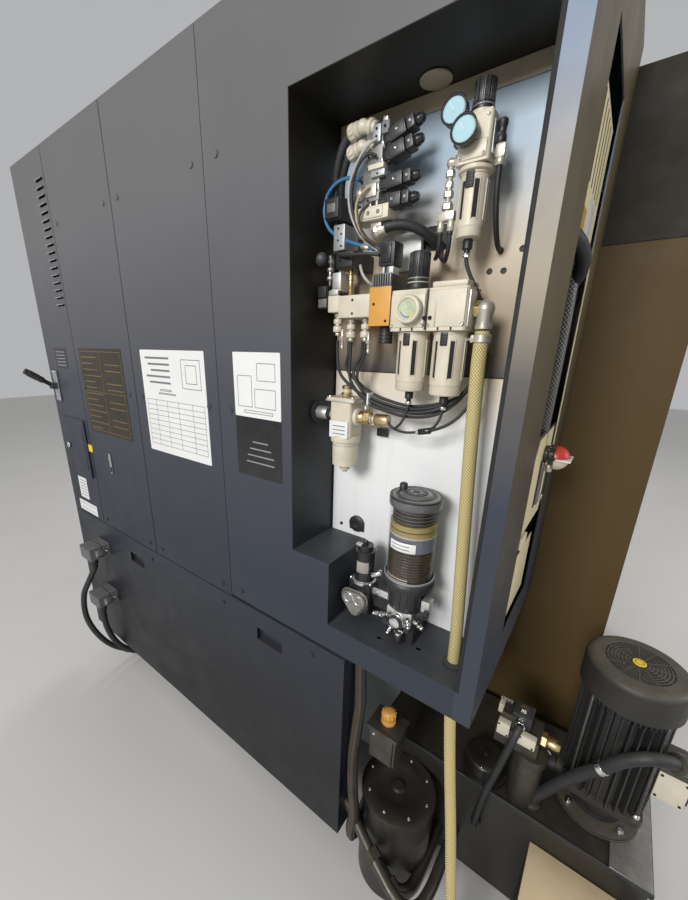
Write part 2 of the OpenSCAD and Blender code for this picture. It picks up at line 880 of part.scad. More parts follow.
module recess_plates() {
  color("lightsteelblue") difference() {
    box([-box_out + post_w, recess_y, plate_split + 2], [-recess_in - 4, plate_y, recess_top - 28]);
    box([-625, recess_y - 1, 1756], [-564, plate_y + 1, 1800]);
    for (p = [[-707, 1708], [-732, 1707], [-759, 1740], [-722, 1741], [-706, 1560], [-720, 1560]]) {
      rod_y([p.x, recess_y - 1, p.y], skin + 2, 11);
    }
  }
  color("white") {
    box([-box_out + post_w, recess_y, shelf_h], [-recess_in - step_w, plate_y, plate_split]);
    box([-recess_in - step_w, recess_y, step_h], [-recess_in - 4, plate_y, plate_split]);
  }
}

// Air preparation in the recess

module unit_block(x, z0, z1) {
  slab([x, unit_y, z0], unit_w, unit_w, z1 - z0, 8);
}

module regulator_bodies() {
  color("silver") {
    slab([upper_x, unit_y, 1852], upper_w, upper_w, 63, 6);
    rod_z([upper_x, unit_y, 1845], 7, upper_w - 3);
    rod_z([upper_x, unit_y, 1915], 10, 36);
    box([upper_x - 16, plate_y, 1862], [upper_x + 16, unit_y - upper_w / 2, 1900]);
    unit_block(left_x, 1600, 1672);
    rod_z([left_x, unit_y, 1672], 16, 40);
    unit_block(right_x, 1600, 1672);
    slab([right_x, unit_y, 1672], unit_w - 16, unit_w - 16, 10, 6);
    for (x = [left_x, right_x]) {
      box([x - 20, plate_y, 1615], [x + 20, unit_y - unit_w / 2, 1655]);
    }
  }
}

// A filter bowl under the body face at height z, with guard slots and a drain
module bowl(x, z, h, d) {
  translate([x, unit_y, z - h]) difference() {
    union() {
      translate([0, 0, h * 0.18]) cylinder(h = h * 0.82, d = d);
      cylinder(h = h * 0.18, d1 = d * 0.7, d2 = d);
      translate([0, 0, -14]) cylinder(h = 14, d = 14);
    }
    for (a = [0:60:359]) {
      rotate([0, 0, a]) box([d / 2 - 3, -4, h * 0.28], [d / 2 + 1, 4, h * 0.85]);
    }
  }
}

module filter_bowls() {
  color("silver") {
    bowl(upper_x, 1845, 96, 44);
    bowl(left_x, 1600, 114, 61);
    bowl(right_x, 1600, 118, 61);
  }
}

module knob(p, h, d) {
  translate(p) difference() {
    cylinder(h = h, d = d);
    for (a = [0:24:359]) {
      rotate([0, 0, a]) translate([d / 2 + 1, 0, 8]) cylinder(h = h, d = 4, $fn = 16);
    }
  }
}

module regulator_knob_upper() {
  color("black") knob([upper_x, unit_y, 1925 + slip], 40, 33);
}

module regulator_knob_lower() {
  color("black") knob([left_x, unit_y, 1688 + slip], 50, 38);
}

module gauge(p, d) {
  translate(p) rotate([-90, 0, 0]) difference() {
    cylinder(h = 14, d = d);
    translate([0, 0, 11]) cylinder(h = 4, d = d - 5);
  }
}

module pressure_gauges() {
  face = unit_y + unit_w / 2;
  face_u = unit_y + upper_w / 2;
  color("gray") {
    gauge([upper_x + 9, face_u + 11, 1889], 40);
    rod_y([upper_x + 9, face_u, 1889], 11, 10);
    gauge([upper_x + 32, face_u + slip, 1923], 40);
    rod_y([upper_x + 34, unit_y, 1923], face_u + slip - unit_y, 10);
    box([upper_x + upper_w / 2, unit_y - 7, 1888], [upper_x + 40, unit_y + 7, 1930]);
    gauge([left_x - 8, face + 4, 1637], 42);
    rod_y([left_x - 8, face, 1637], 4, 12);
  }
}

module air_fittings() {
  inlet_x = right_x - unit_w / 2;
  color("silver") {
    rod_x([hose_top_x, unit_y, 1636], inlet_x - hose_top_x, 26);
    translate([hose_top_x, unit_y, 1636]) sphere(d = 31);
    rod_z([hose_top_x, unit_y, 1600], 36, supply_d + 2);
  }
  color("gainsboro") {
    box([-box_out - 26, lock_y - 24, lock_z - 34], [-box_out + 2 * skin, lock_y + 24, lock_z + 34]);
    rod_x([-box_out - 38, lock_y, lock_z], 12, 10);
    rod_z([-box_out - 10, lock_y, lock_z - 60], 26, 20);
  }
  color("silver") {
    rod_x([upper_x + upper_w / 2, unit_y, 1868], 17, 13);
    rod_z([upper_x + upper_w / 2 + 17, unit_y, 1790], 86, 14);
    rod_z([upper_x + upper_w / 2 + 17, unit_y, 1800], 20, 19);
    rod_x([upper_x - upper_w / 2 - 11, unit_y, 1876], 11, 12);
    rod_z([upper_x - upper_w / 2 - 11, unit_y, 1856], 62, 17);
  }
}

hose_top_x = -731;
lock_y = rear_y - 330;
lock_z = 1340;

module lockout_knob() {
  color("red") translate([-box_out - 26 - slip, lock_y, lock_z]) rotate([0, -90, 0]) {
    difference() {
      union() {
        cylinder(h = 12, d = 46);
        box([-9, -30, 0], [9, 30, 24]);
      }
      translate([0, 0, -1]) cylinder(h = 16, d = 10 + 2 * run);
    }
  }
}

// The valve tower: its lower and upper parts stand a little apart
tower_low_x = -485;
tower_high_x = -502;
valve_y = rear_y - 100;

module solenoid_valves() {
  spots = [[tower_low_x, 1845], [tower_low_x, 1870], [tower_high_x, 1920], [tower_high_x, 1949]];
  color("black") for (p = spots) {
    box([p.x - 48, valve_y - 15, p.y - 11], [p.x, valve_y + 15, p.y + 11]);
    box([p.x - 72, valve_y - 12, p.y - 12], [p.x - 48, valve_y + 12, p.y + 12]);
    rod_x([p.x - 82, valve_y, p.y], 10, 14);
  }
}

module valve_manifold() {
  color("gainsboro") {
    box([tower_low_x, valve_y - 24, 1829], [tower_low_x + 30, valve_y + 15, 1895]);
    box([tower_low_x + 4, plate_y, 1842], [tower_low_x + 26, valve_y - 24, 1885]);
    box([tower_high_x, valve_y - 24, 1895], [tower_high_x + 30, valve_y + 15, 1975]);
    box([tower_high_x + 4, plate_y, 1905], [tower_high_x + 26, valve_y - 24, 1965]);
    box([-532, valve_y - 30, 1805], [tower_low_x + 30, valve_y + 17, 1829]);
    rod_x([tower_high_x + 30, valve_y - 4, 1962], 30, 25);
    rod_x([tower_high_x + 30, valve_y - 4, 1930], 24, 22);
    rod_x([tower_low_x + 30, valve_y - 4, 1872], 18, 18);
    rod_z([-500, valve_y - 6, 1786], 19, 22);
    box([-505, plate_y, 1630], [-426, rear_y - 80, 1674]);
    box([-426, plate_y + 30, 1642], [-398, rear_y - 82, 1674]);
    for (x = [-482, -445]) {
      rod_z([x, rear_y - 104, 1582], 48, 17);
    }
    rod_z([-409, rear_y - 104, 1594], 48, 17);
    rod_z([-440, rear_y - 104, 1674], 54, 11);
  }
}

module pressure_switches() {
  color("dimgray") {
    box([-417, plate_y, 1822], [-380, rear_y - 90, 1862]);
    box([-455, plate_y, 1728], [-412, rear_y - 90, 1760]);
    box([-389, plate_y, 1652], [-364, rear_y - 90, 1698]);
  }
  color("orange") {
    box([-557, plate_y, 1612], [-511, rear_y - 70, 1682]);
    box([-553, plate_y + 20, 1682], [-515, rear_y - 76, 1706]);
    rod_z([-534, rear_y - 100, 1706], 46, 26);
    rod_z([-534, rear_y - 100, 1578], 34, 28);
  }
}

module air_filter() {
  color("gainsboro") {
    slab([-446, unit_y, 1372], 58, 56, 80, 8);
    slab([-446, unit_y, 1452], 76, 62, 9, 6);
    rod_z([-446, unit_y, 1461], 26, 20);
    box([-464, plate_y, 1396], [-428, unit_y - 28, 1440]);
    rod_z([-446, unit_y, 1357], 15, 68);
    rod_z([-446, unit_y, 1300], 57, 61);
    rod_z([-446, unit_y, 1287], 13, 24);
    rod_x([-417, unit_y, 1418], 417 - recess_in, 28);
    rod_x([-482, unit_y, 1418], 8, 38);
    rod_x([-558, unit_y, 1418], 76, 22);
  }
}

// Grease lubricator on the shelf

grease_x = -640;
grease_y = rear_y - 88;

module grease_reservoir() {
  color("saddlebrown") difference() {
    rod_z([grease_x, grease_y, 1068], 182, 110);
    rod_z([grease_x, grease_y, 1072], 190, 104);
  }
}

module lubricator_base() {
  grease_pump();
  color("dimgray") {
    rod_z([grease_x, grease_y, 1250], 18, 113);
    rod_z([grease_x, grease_y, 1268], 5, 44);
    rod_z([grease_x, grease_y, 1052], 16, 122);
    rod_z([grease_x, grease_y, 990], 62, 82);
    box([grease_x - 34, grease_y - 36, shelf_h], [grease_x + 34, grease_y + 24, 990]);
    rod_z([grease_x, grease_y, 1072], 178, 12);
  }
  color("silver") {
    rod_y([grease_x + 2, grease_y + 24, 966], 26, 34);
    for (x = [-26, 28]) {
      rod_y([grease_x + x, grease_y + 24, 956], 26, 14);
    }
  }
}

motor_x = -522;

module grease_pump() {
  color("silver") {
    slab([motor_x, grease_y, 928], 64, 54, 84, 10);
    translate([motor_x, grease_y + 27, 966]) rotate([-90, 0, 0]) linear_extrude(14) {
      translate([-10, 0]) circle(d = 58);
      translate([16, 4]) circle(d = 40);
      translate([3, 2]) square([26, 44], center = true);
    }
    box([grease_x + 34, grease_y - 14, 956], [motor_x - 32, grease_y + 14, 988]);
  }
  color("black") {
    rod_z([motor_x, grease_y, 1012], 82, 50);
    rod_z([motor_x, grease_y, 1094], 14, 38);
  }
}

// Tubes: a round section swept along hand-placed points

function unit(v) = v / norm(v);
function lean(p, i) = unit(
  i == 0 ? p[1] - p[0] : i == len(p) - 1 ? p[i] - p[i - 1] : unit(p[i + 1] - p[i]) + unit(p[i] - p[i - 1])
);
function side_of(t, s) = unit(s - (s * t) * t);
function frames(p, i, s) = i == len(p) ? [] : concat(
  [side_of(lean(p, i), s)],
  frames(p, i + 1, side_of(lean(p, i), s))
);
function ring(c, t, s, r, n) = [
  for (k = [0:n - 1]) c + r * (cos(360 * k / n) * s + sin(360 * k / n) * cross(t, s))
];

module hose(p, d, n) {
  s = frames(p, 0, unit([0.31, 0.87, 0.39]));
  points = [for (i = [0:len(p) - 1], q = ring(p[i], lean(p, i), s[i], d / 2, n)) q];
  last = (len(p) - 1) * n;
  sides = [
    for (i = [0:len(p) - 2], k = [0:n - 1])
      [i * n + k, i * n + (k + 1) % n, (i + 1) * n + (k + 1) % n, (i + 1) * n + k]
  ];
  caps = [[for (k = [n - 1:-1:0]) k], [for (k = [0:n - 1]) last + k]];
  polyhedron(points = points, faces = concat(sides, caps));
}

supply_route = [
  [-731, 955, 1599.7], [-731, 955, 1540], [-735, 956, 1450], [-741, 958, 1340], [-749, 961, 1220],
  [-758, 966, 1090], [-766, 971, 970], [-770, 974, 860], [-778, 978, 780], [-791, 985, 680],
  [-808, 994, 570], [-827, 1006, 460], [-846, 1022, 350], [-866, 1044, 245], [-882, 1076, 155],
  [-896, 1122, 82], [-916, 1180, 34], [-948, 1240, 15], [-1000, 1286, 14], [-1070, 1310, 14],
  [-1140, 1316, 14], [-1200, 1312, 14]
];
bundle_routes = [
  [[-482, 946, 1581.7], [-482, 946, 1548], [-488, 950, 1500], [-512, 956, 1462], [-556, 960, 1444],
   [-606, 962, 1436], [-654, 956, 1440], [-690, 940, 1460], [-706, 920, 1508], [-706, 898, 1558],
   [-706, 880.5, 1560]],
  [[-445, 946, 1581.7], [-445, 946, 1556], [-450, 974, 1508], [-468, 998, 1472], [-510, 1006, 1434],
   [-568, 1004, 1414], [-636, 994, 1412], [-690, 968, 1436], [-720, 926, 1492], [-720, 898, 1558],
   [-720, 880.5, 1560]]
];
thick_route = [
  [-500, 944, 1785.7], [-500, 944, 1772], [-512, 940, 1760], [-540, 930, 1758], [-572, 912, 1766],
  [-592, 894, 1774], [-598, 880.5, 1778]
];

module supply_hose() {
  color("khaki") hose(supply_route, supply_d, 12);
}

module hose_coupling() {
  color("goldenrod") translate(supply_route[len(supply_route) - 1]) rotate([0, -90, 4]) {
    translate([0, 0, slip]) cylinder(h = 30, d = supply_d + 2);
    translate([0, 0, 30]) cylinder(h = 34, d = supply_d - 4);
  }
}

module air_tubes() {
  color("black") {
    for (r = bundle_routes) {
      hose(r, 10, 8);
    }
    hose(thick_route, 14, 8);
    hose(wash_route, 40, 10);
  }
}

// Heavy connectors and their cables

plug_x = 800;
plug_z = [690, 445];

module connector_hoods() {
  color("gray") for (z = plug_z) {
    box([plug_x - 50, rear_y, z - 30], [plug_x + 50, rear_y + 28, z + 30]);
    slab([plug_x, rear_y + 28 + 30, z - 27], 94, 60, 54, 8);
    rod_z([plug_x, rear_y + 58, z - 52], 25, cable_d + 8);
  }
}

cable_low = 120;
cable_x = [838, 778];
cable_end = back_y + 12 + slip;
cable_routes = [
  [[800, 1108, 637.7], [800, 1108, 606], [826, 1130, 540], [872, 1146, 460], [900, 1150, 370],
   [900, 1146, 290], [874, 1128, 215], [852, 1092, 142], [848, 1036, 74], [848, 960, 22],
   [844, 700, 13], [cable_x[0], 530, 34], [cable_x[0], 484, 88], [cable_x[0], 462, cable_low],
   [cable_x[0], cable_end, cable_low]],
  [[800, 1108, 392.7], [800, 1108, 350], [798, 1106, 280], [796, 1084, 190], [798, 1046, 116],
   [802, 982, 44], [800, 880, 13], [cable_x[1], 530, 34], [cable_x[1], 484, 88],
   [cable_x[1], 462, cable_low], [cable_x[1], cable_end, cable_low]]
];

module connector_cables() {
  color("black") for (r = cable_routes) {
    hose(r, cable_d, 10);
  }
}

// Coolant tank and pumps

pump_y = rear_y - pump_in;
tank_x0 = -1228;
tank_x1 = -tail_w / 2 - slip;
tank_y0 = 480;
tank_y1 = rear_y - 235;
lid_lap = 5;
transfer = [-845, rear_y - 290];
canister = [-946, rear_y - 276];
wash_route = [
  [-1009.7, 668, 450], [-986, 668, 450], [-954, 668, 478], [-926, 670, 528], [-906, 680, 574],
  [-900, 698, 594], [-900, 723.7, 594]
];

module coolant_tank() {
  side_box = -992;
  color("dimgray") {
    difference() {
      box([tank_x0, tank_y0, 40], [tank_x1, tank_y1, tank_h - 5]);
      box([tank_x0 + skin, tank_y0 + skin, 40 + skin], [tank_x1 - skin, tank_y1 - skin, tank_h]);
    }
    for (x = [tank_x0, tank_x1 - 60], y = [tank_y0, tank_y1 - 60]) {
      box([x, y, 0], [x + 60, y + 60, 40]);
    }
  }
  color("tan") {
    difference() {
      box([tank_x0 - lid_lap, tank_y0, tank_h - 5], [tank_x1, tank_y1 + lid_lap, tank_h]);
      rod_z([-pump_x, pump_y, tank_h - 6], 8, 120);
      rod_z([transfer.x, transfer.y, tank_h - 6], 8, 100);
    }
    difference() {
      box([tank_x0, tank_y1 + slip, 0], [side_box, rear_y - 60, 300]);
      box([tank_x0 + skin, tank_y1 + slip + skin, skin], [side_box - skin, rear_y - 60 - skin, 300 - skin]);
    }
  }
}

module wash_pump_motor() {
  axis = [-pump_x, pump_y, 0];
  color("black") {
    translate(axis + [0, 0, tank_h]) difference() {
      cylinder(h = 14, d = 190);
      for (a = [45:90:359]) {
        rotate([0, 0, a]) translate([80, 0, -1]) cylinder(h = 16, d = 11);
      }
    }
    translate(axis + [0, 0, 120]) cylinder(h = tank_h - 120, d = 100);
    translate(axis + [0, 0, tank_h + 14]) cylinder(h = 70, d1 = 120, d2 = 140);
    slab(axis + [0, 0, tank_h + 84], 170, 170, 16, 20);
    difference() {
      translate(axis + [0, 0, tank_h + 100]) linear_extrude(pump_top - 75 - tank_h - 100) {
        circle(d = 150);
        for (a = [0:12:359]) {
          rotate(a) translate([72, -1.8]) square([22, 3.6]);
        }
      }
      translate(axis + [0, 0, pump_top - 110]) cylinder(h = 40, d = 24);
    }
    for (sx = [-1, 1], sy = [-1, 1]) {
      translate(axis + [sx * 70, sy * 70, tank_h + 92]) cylinder(h = pump_top - 81 - tank_h - 92, d = 9);
    }
    slab([-pump_x - 112, pump_y, tank_h + 170], 60, 96, 84, 8);
  }
  color("silver") rod_x([-pump_x + 60, pump_y, tank_h + 125 - 70], 40, 44);
}

module ring_slots(d, h) {
  for (r = [16:7:d / 2]) {
    difference() {
      cylinder(h = h, r = r + 2);
      translate([0, 0, -1]) cylinder(h = h + 2, r = r - 2);
      for (a = [0:30:179]) {
        rotate([0, 0, a]) translate([-d, -1.6, -1]) cube([2 * d, 3.2, h + 2]);
      }
    }
  }
}

module fan_cover() {
  low = pump_top - 75;
  color("black") translate([-pump_x, pump_y, low]) difference() {
    rotate_extrude($fn = 96) polygon(concat(
      [[0, 0], [fan_cover_d / 2, 0], [fan_cover_d / 2, 57]],
      [for (a = [0:15:90]) [fan_cover_d / 2 - 18 + 18 * cos(a), 57 + 18 * sin(a)]],
      [[0, 75]]
    ));
    rotate_extrude($fn = 96) polygon(concat(
      [[0, -1], [fan_cover_d / 2 - 2.5, -1], [fan_cover_d / 2 - 2.5, 57]],
      [for (a = [0:15:90]) [fan_cover_d / 2 - 18 + 15.5 * cos(a), 57 + 15.5 * sin(a)]],
      [[0, 72.5]]
    ));
    translate([0, 0, 70]) ring_slots(grille_d, 6);
  }
  color("black") translate([-pump_x, pump_y, low - 6]) difference() {
    cylinder(h = 6, d = fan_cover_d);
    translate([0, 0, -1]) cylinder(h = 8, d = fan_cover_d - 14);
  }
}

module cooling_fan() {
  color("gray") translate([-pump_x, pump_y, pump_top - 75 - 30]) {
    cylinder(h = 62, d = 24 - 2 * run);
    translate([0, 0, 32]) cylinder(h = 30, d = 50);
    for (a = [0:45:359]) {
      rotate([0, 0, a]) translate([20, -1.5, 36]) cube([66, 3, 24]);
    }
  }
}

module transfer_pumps() {
  drum = [-655, tank_y1 + 108 + slip];
  color("black") {
    rod_z([transfer.x, transfer.y, 150], tank_h - 150, 80);
    rod_z([transfer.x, transfer.y, tank_h], 12, 124);
    rod_z([transfer.x, transfer.y, tank_h + 12], 40, 110);
    rod_z([drum.x, drum.y, 0], 320, 210);
    rod_z([drum.x, drum.y, 320], 12, 216);
  }
}

module coolant_manifold() {
  top = tank_h + 174;
  color("silver") {
    rod_z([canister.x, canister.y, tank_h], 150, 70);
    rod_z([canister.x, canister.y, tank_h + 150], 24, 84);
    box([-960, 724, top], [-860, 804, top + 50]);
    rod_x([-1000, 750, top + 24], 40, 30);
    box([-900, 752, top + 50], [-866, 790, top + 88]);
  }
}

base_casting();
leveling_feet();
column();
fixed_guide_rails();
axis_servos();
left_side_panel();
right_side_panel();
roof_panel();
front_fascia();
enclosure_back_panel();
chip_pan();
magazine_bracket();
cabinet_shell();
strip_panel();
cabinet_cover_a();
cabinet_cover_b();
lower_rear_panel();
service_box();
recess_plates();
regulator_bodies();
filter_bowls();
pressure_gauges();
air_fittings();
solenoid_valves();
valve_manifold();
pressure_switches();
air_filter();
grease_reservoir();
lubricator_base();
air_tubes();
supply_hose();
hose_coupling();
connector_hoods();
connector_cables();
coolant_tank();
wash_pump_motor();
fan_cover();
transfer_pumps();
coolant_manifold();
saddle();
x_servo();
work_table();
spindle_head();
spindle_motor();
spindle();
x_ball_screw();
y_ball_screw();
z_ball_screw();
magazine_carriage();
tool_disc();
left_front_door();
right_front_door();
control_pendant();
emergency_stop();
disconnect_lever();
access_flap();
lockout_knob();
regulator_knob_upper();
regulator_knob_lower();
cooling_fan();
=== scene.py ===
import math
import random
from itertools import product

import bmesh
import bpy
from mathutils import Matrix, Vector


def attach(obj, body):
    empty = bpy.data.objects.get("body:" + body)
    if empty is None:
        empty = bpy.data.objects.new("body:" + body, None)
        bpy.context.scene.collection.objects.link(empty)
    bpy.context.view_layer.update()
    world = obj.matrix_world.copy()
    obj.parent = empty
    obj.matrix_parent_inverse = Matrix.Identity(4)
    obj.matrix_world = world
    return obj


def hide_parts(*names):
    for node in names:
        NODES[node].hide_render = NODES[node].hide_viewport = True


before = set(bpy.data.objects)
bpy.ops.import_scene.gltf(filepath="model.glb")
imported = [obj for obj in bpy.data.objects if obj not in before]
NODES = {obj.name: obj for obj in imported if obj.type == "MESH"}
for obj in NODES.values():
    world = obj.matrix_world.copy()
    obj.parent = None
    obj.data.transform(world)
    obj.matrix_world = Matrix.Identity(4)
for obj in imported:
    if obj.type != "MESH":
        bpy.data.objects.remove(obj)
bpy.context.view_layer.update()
SEED = random.Random(7)
SIDES = (-1, 1)
CORNERS = tuple(product(SIDES, repeat=2))
MM = 0.001
SHARP = math.radians(48)  # edges above this angle stay hard

# Shared places, in millimetres in the row frame
REAR = 1050  # rear face of the cabinet
UNIT_Y = 955  # plane of the air units' axes
UPPER_X, LOWER_X, BOWL_X = -686, -600, -674  # upper unit, lower unit, its second bowl
ELBOW_X = -731  # brass elbow above the supply hose
FILTER_X = -446
VALVE_Y = 950  # plane of the solenoids and the large elbows
GREASE = (-640, 962, 0)
GREASE_MOTOR_X = -522
PUMP = (-1110, 668, 0)

# Camera solved from the photograph, in its pixels
PHOTO = (688, 900)
FOCAL = 385.8
CENTRE = (322.28, 474.75)
SENSOR = 36


def add(name, data):
    obj = bpy.data.objects.new(name, data)
    bpy.context.scene.collection.objects.link(obj)
    return obj


def add_camera():
    data = bpy.data.cameras.new("camera")
    cam = add("camera", data)
    right = Vector((-0.7938, -0.608, 0.0143))
    back = right.cross(Vector((0.1989, -0.2374, 0.9508))).normalized()
    up = back.cross(right).normalized()
    turn = Matrix((right.normalized(), up, back)).transposed().to_4x4()
    cam.matrix_world = Matrix.Translation((-0.95, 1.71, 1.565)) @ turn
    data.sensor_width = SENSOR
    data.lens = FOCAL * SENSOR / PHOTO[1]
    data.shift_x = (PHOTO[0] / 2 - CENTRE[0]) / PHOTO[1]
    data.shift_y = (CENTRE[1] - PHOTO[1] / 2) / PHOTO[1]
    data.clip_start = 0.02
    data.clip_end = 60
    bpy.context.scene.camera = cam


add_camera()


# Materials
class Look:
    def __init__(self, name):
        self.mat = bpy.data.materials.new(name)
        self.mat.use_nodes = True
        self.tree = self.mat.node_tree
        self.shader = self.tree.nodes["Principled BSDF"]
        self.coords = self.node("TexCoord", "Object")

    def feed(self, socket, value):
        if isinstance(value, bpy.types.NodeSocket):
            self.tree.links.new(value, socket)
        else:
            socket.default_value = (*value, 1) if socket.type == "RGBA" else value

    def node(self, kind, out=0, inputs=None, **settings):
        node = self.tree.nodes.new("ShaderNode" + kind)
        for key, value in settings.items():
            setattr(node, key, value)
        for key, value in (inputs or {}).items():
            self.feed(node.inputs[key], value)
        return node.outputs[out]

    def put(self, inputs):
        for key, value in inputs.items():
            self.feed(self.shader.inputs[key], value)

    def mapped(self, scale=(1, 1, 1), turn=(0, 0, 0), source=None):
        return self.node("Mapping", 0, {"Scale": scale, "Rotation": turn, "Vector": source or self.coords})

    def noise(self, scale, detail=4, rough=0.55, source=None):
        return self.node("TexNoise", "Fac", {"Vector": source or self.coords, "Scale": scale, "Detail": detail,
                                             "Roughness": rough})

    def span(self, value, a, b, low=0, high=1):
        return self.node("MapRange", 0, {"Value": value, "From Min": a, "From Max": b, "To Min": low,
                                         "To Max": high})

    def blend(self, factor, a, b, mode="MIX"):
        # A mix node's colours are its inputs 6 and 7 and its output 2
        return self.node("Mix", 2, {0: factor, 6: a, 7: b}, data_type="RGBA", blend_type=mode)

    def times(self, a, b):
        return self.node("Math", 0, {0: a, 1: b}, operation="MULTIPLY")

    def axis(self, letter, source=None):
        return self.node("SeparateXYZ", letter, {0: source or self.coords})

    def normal(self):
        return self.node("NewGeometry", "Normal")

    def relief(self, height, strength, depth, edge=0):
        inputs = {"Height": height, "Strength": strength, "Distance": depth}
        if edge:
            inputs["Normal"] = self.node("Bevel", 0, {"Radius": edge}, samples=4)
        self.put({"Normal": self.node("Bump", 0, inputs)})


M = {}
NAVY = (0.036, 0.043, 0.06)
DUST = (0.36, 0.33, 0.28)


def shade(color, k):
    return tuple(min(1, max(0, c * k)) for c in color)


# The base is a colour, or a function that builds one in the look
def surface(name, base, rough=0.5, metal=0, spread=0.14, patch=5, grain=900, bump=0.15, dust=0,
            dust_to=DUST, wear=0, wear_to=None, streak=0, stretch=None, edge=0.0012, coat=0, spec=0.5,
            alpha=1):
    look = Look(name)
    source = look.mapped(stretch) if stretch else look.coords
    patches = look.noise(patch, 5, 0.6, source)
    if callable(base):
        tint = look.blend(patches, (1 - spread,) * 3, (1 + spread,) * 3)
        color = look.blend(1, base(look), tint, "MULTIPLY")
    else:
        color = look.blend(look.span(patches, 0.3, 0.7), shade(base, 1 - spread), shade(base, 1 + spread))
    if streak:
        fine = look.noise(3, 3, 0.6, look.mapped((14, 14, 0.7)))
        color = look.blend(look.span(fine, 0.55, 0.75, 0, streak), color, dust_to)
    if wear:
        spots = look.times(look.noise(60, 6, 0.75), look.noise(9, 3, 0.6))
        color = look.blend(look.span(spots, 0.36, 0.42, 0, wear), color, wear_to)
    if dust:
        up = look.span(look.axis("Z", look.normal()), 0.25, 0.95, 0, dust)
        amount = look.times(up, look.span(look.noise(14, 6, 0.7), 0.3, 0.65, 0.35, 1))
        color = look.blend(amount, color, dust_to)
    gloss = look.noise(patch * 4, 5, 0.65, source)
    look.put({"Base Color": color, "Metallic": metal, "Specular IOR Level": spec, "Alpha": alpha,
              "Roughness": look.span(gloss, 0.3, 0.7, max(0.03, rough - 0.07), min(1, rough + 0.1))})
    if coat:
        look.put({"Coat Weight": coat, "Coat Roughness": 0.12})
    look.relief(look.noise(grain, 3, 0.6, source), bump, 0.0006, edge)
    M[name] = look.mat


# Colours that change with height: used for two-tone paint at a seam, and for painted light and shade (a painted
# sheen of warm light from above, painted shade low down)
def by_height(*stops):
    def build(look):
        color = stops[0][1]
        for (a, _), (b, after) in zip(stops, stops[1:]):
            color = look.blend(look.span(look.axis("Z"), a, b), color, after)
        return color
    return build


def at_seam(low, high):
    return by_height((1.8159, low), (1.8171, high))


# Painted highlight: the navy paint grows lighter and warmer towards the top, a painted sheen of light from above
PAINTED_TOP_SHEEN = ((1.4, (0.055, 0.06, 0.074)), (1.95, (0.13, 0.126, 0.13)))


# Service box paint with painted light and shade on one navy paint: a painted reflection on the post's rear face,
# painted warm light on its side face, painted shade on the recess walls, and the painted top sheen elsewhere
def box_paint(look):
    normal = look.normal()
    outer = look.span(look.axis("X"), -0.7995, -0.8005)
    rear = look.times(look.span(look.axis("Y", normal), 0.6, 0.8), outer)
    side = look.times(look.span(look.axis("X", normal), -0.6, -0.8), outer)
    deep = look.times(look.span(look.axis("Y"), 1.048, 1.0475), look.span(look.axis("Z"), 2.1, 2.09))
    inside = look.times(deep, look.span(look.axis("X"), -0.799, -0.798))
    # Other faces: dark navy low down with the painted top sheen above
    plain_painted_sheen = by_height((0.95, (0.026, 0.032, 0.046)), *PAINTED_TOP_SHEEN)(look)
    # Rear face of the outer post: painted reflection, warm in the middle and blue at the top
    post_painted_reflection = by_height((1.3, NAVY), (1.52, (0.1, 0.092, 0.085)), (1.66, (0.32, 0.27, 0.195)),
                     (1.8, (0.27, 0.25, 0.225)), (1.92, (0.21, 0.26, 0.34)))(look)
    # Side face of the post: painted warm light towards the top
    flank_painted_light = by_height((0.95, NAVY), (1.3, (0.066, 0.053, 0.032)), (1.7, (0.125, 0.097, 0.05)))(look)
    # Recess walls: painted shade, darker towards the top
    recess_painted_shade = by_height((1, (0.03, 0.036, 0.048)), (1.7, (0.02, 0.018, 0.013)))(look)
    return look.blend(side, look.blend(rear, look.blend(inside, plain_painted_sheen, recess_painted_shade), post_painted_reflection), flank_painted_light)


def braid(name, a, b, rough=0.7):
    look = Look(name)
    uv = look.node("TexCoord", "UV")
    waves = [look.node("TexWave", "Fac", {"Scale": 2, "Distortion": 0.5,
                                          "Vector": look.mapped(turn=(0, 0, t), source=uv)},
                       wave_type="BANDS", bands_direction="X") for t in (0.72, -0.72)]
    weave = look.times(*waves)
    stain = look.span(look.noise(7, 5, 0.65), 0.35, 0.7)
    low = look.blend(stain, shade(a, 0.55), shade(a, 0.8))
    high = look.blend(stain, b, shade(b, 0.72))
    look.put({"Base Color": look.blend(look.span(weave, 0.1, 0.6), low, high),
              "Roughness": look.span(look.noise(40), 0.3, 0.7, rough - 0.12, rough + 0.1)})
    look.relief(weave, 0.6, 0.0008)
    M[name] = look.mat


# Each look: name, colour, roughness, metal, spread and scale of its patches, scale of its grain, bump
PAINT = dict(dust=0.1, wear=0.1, wear_to=(0.16, 0.17, 0.19), spec=0.3)
# Navy paint: painted shade turns it near black towards the floor, and the painted top sheen lightens it above
surface("navy", by_height((0.4, (0.011, 0.011, 0.013)), (0.95, (0.025, 0.03, 0.044)), *PAINTED_TOP_SHEEN),
        0.42, 0, 0.1, 2.5, 1300, 0.25, **PAINT)
surface("box_navy", box_paint, 0.42, 0, 0.12, 2.5, 1300, 0.25, **PAINT)
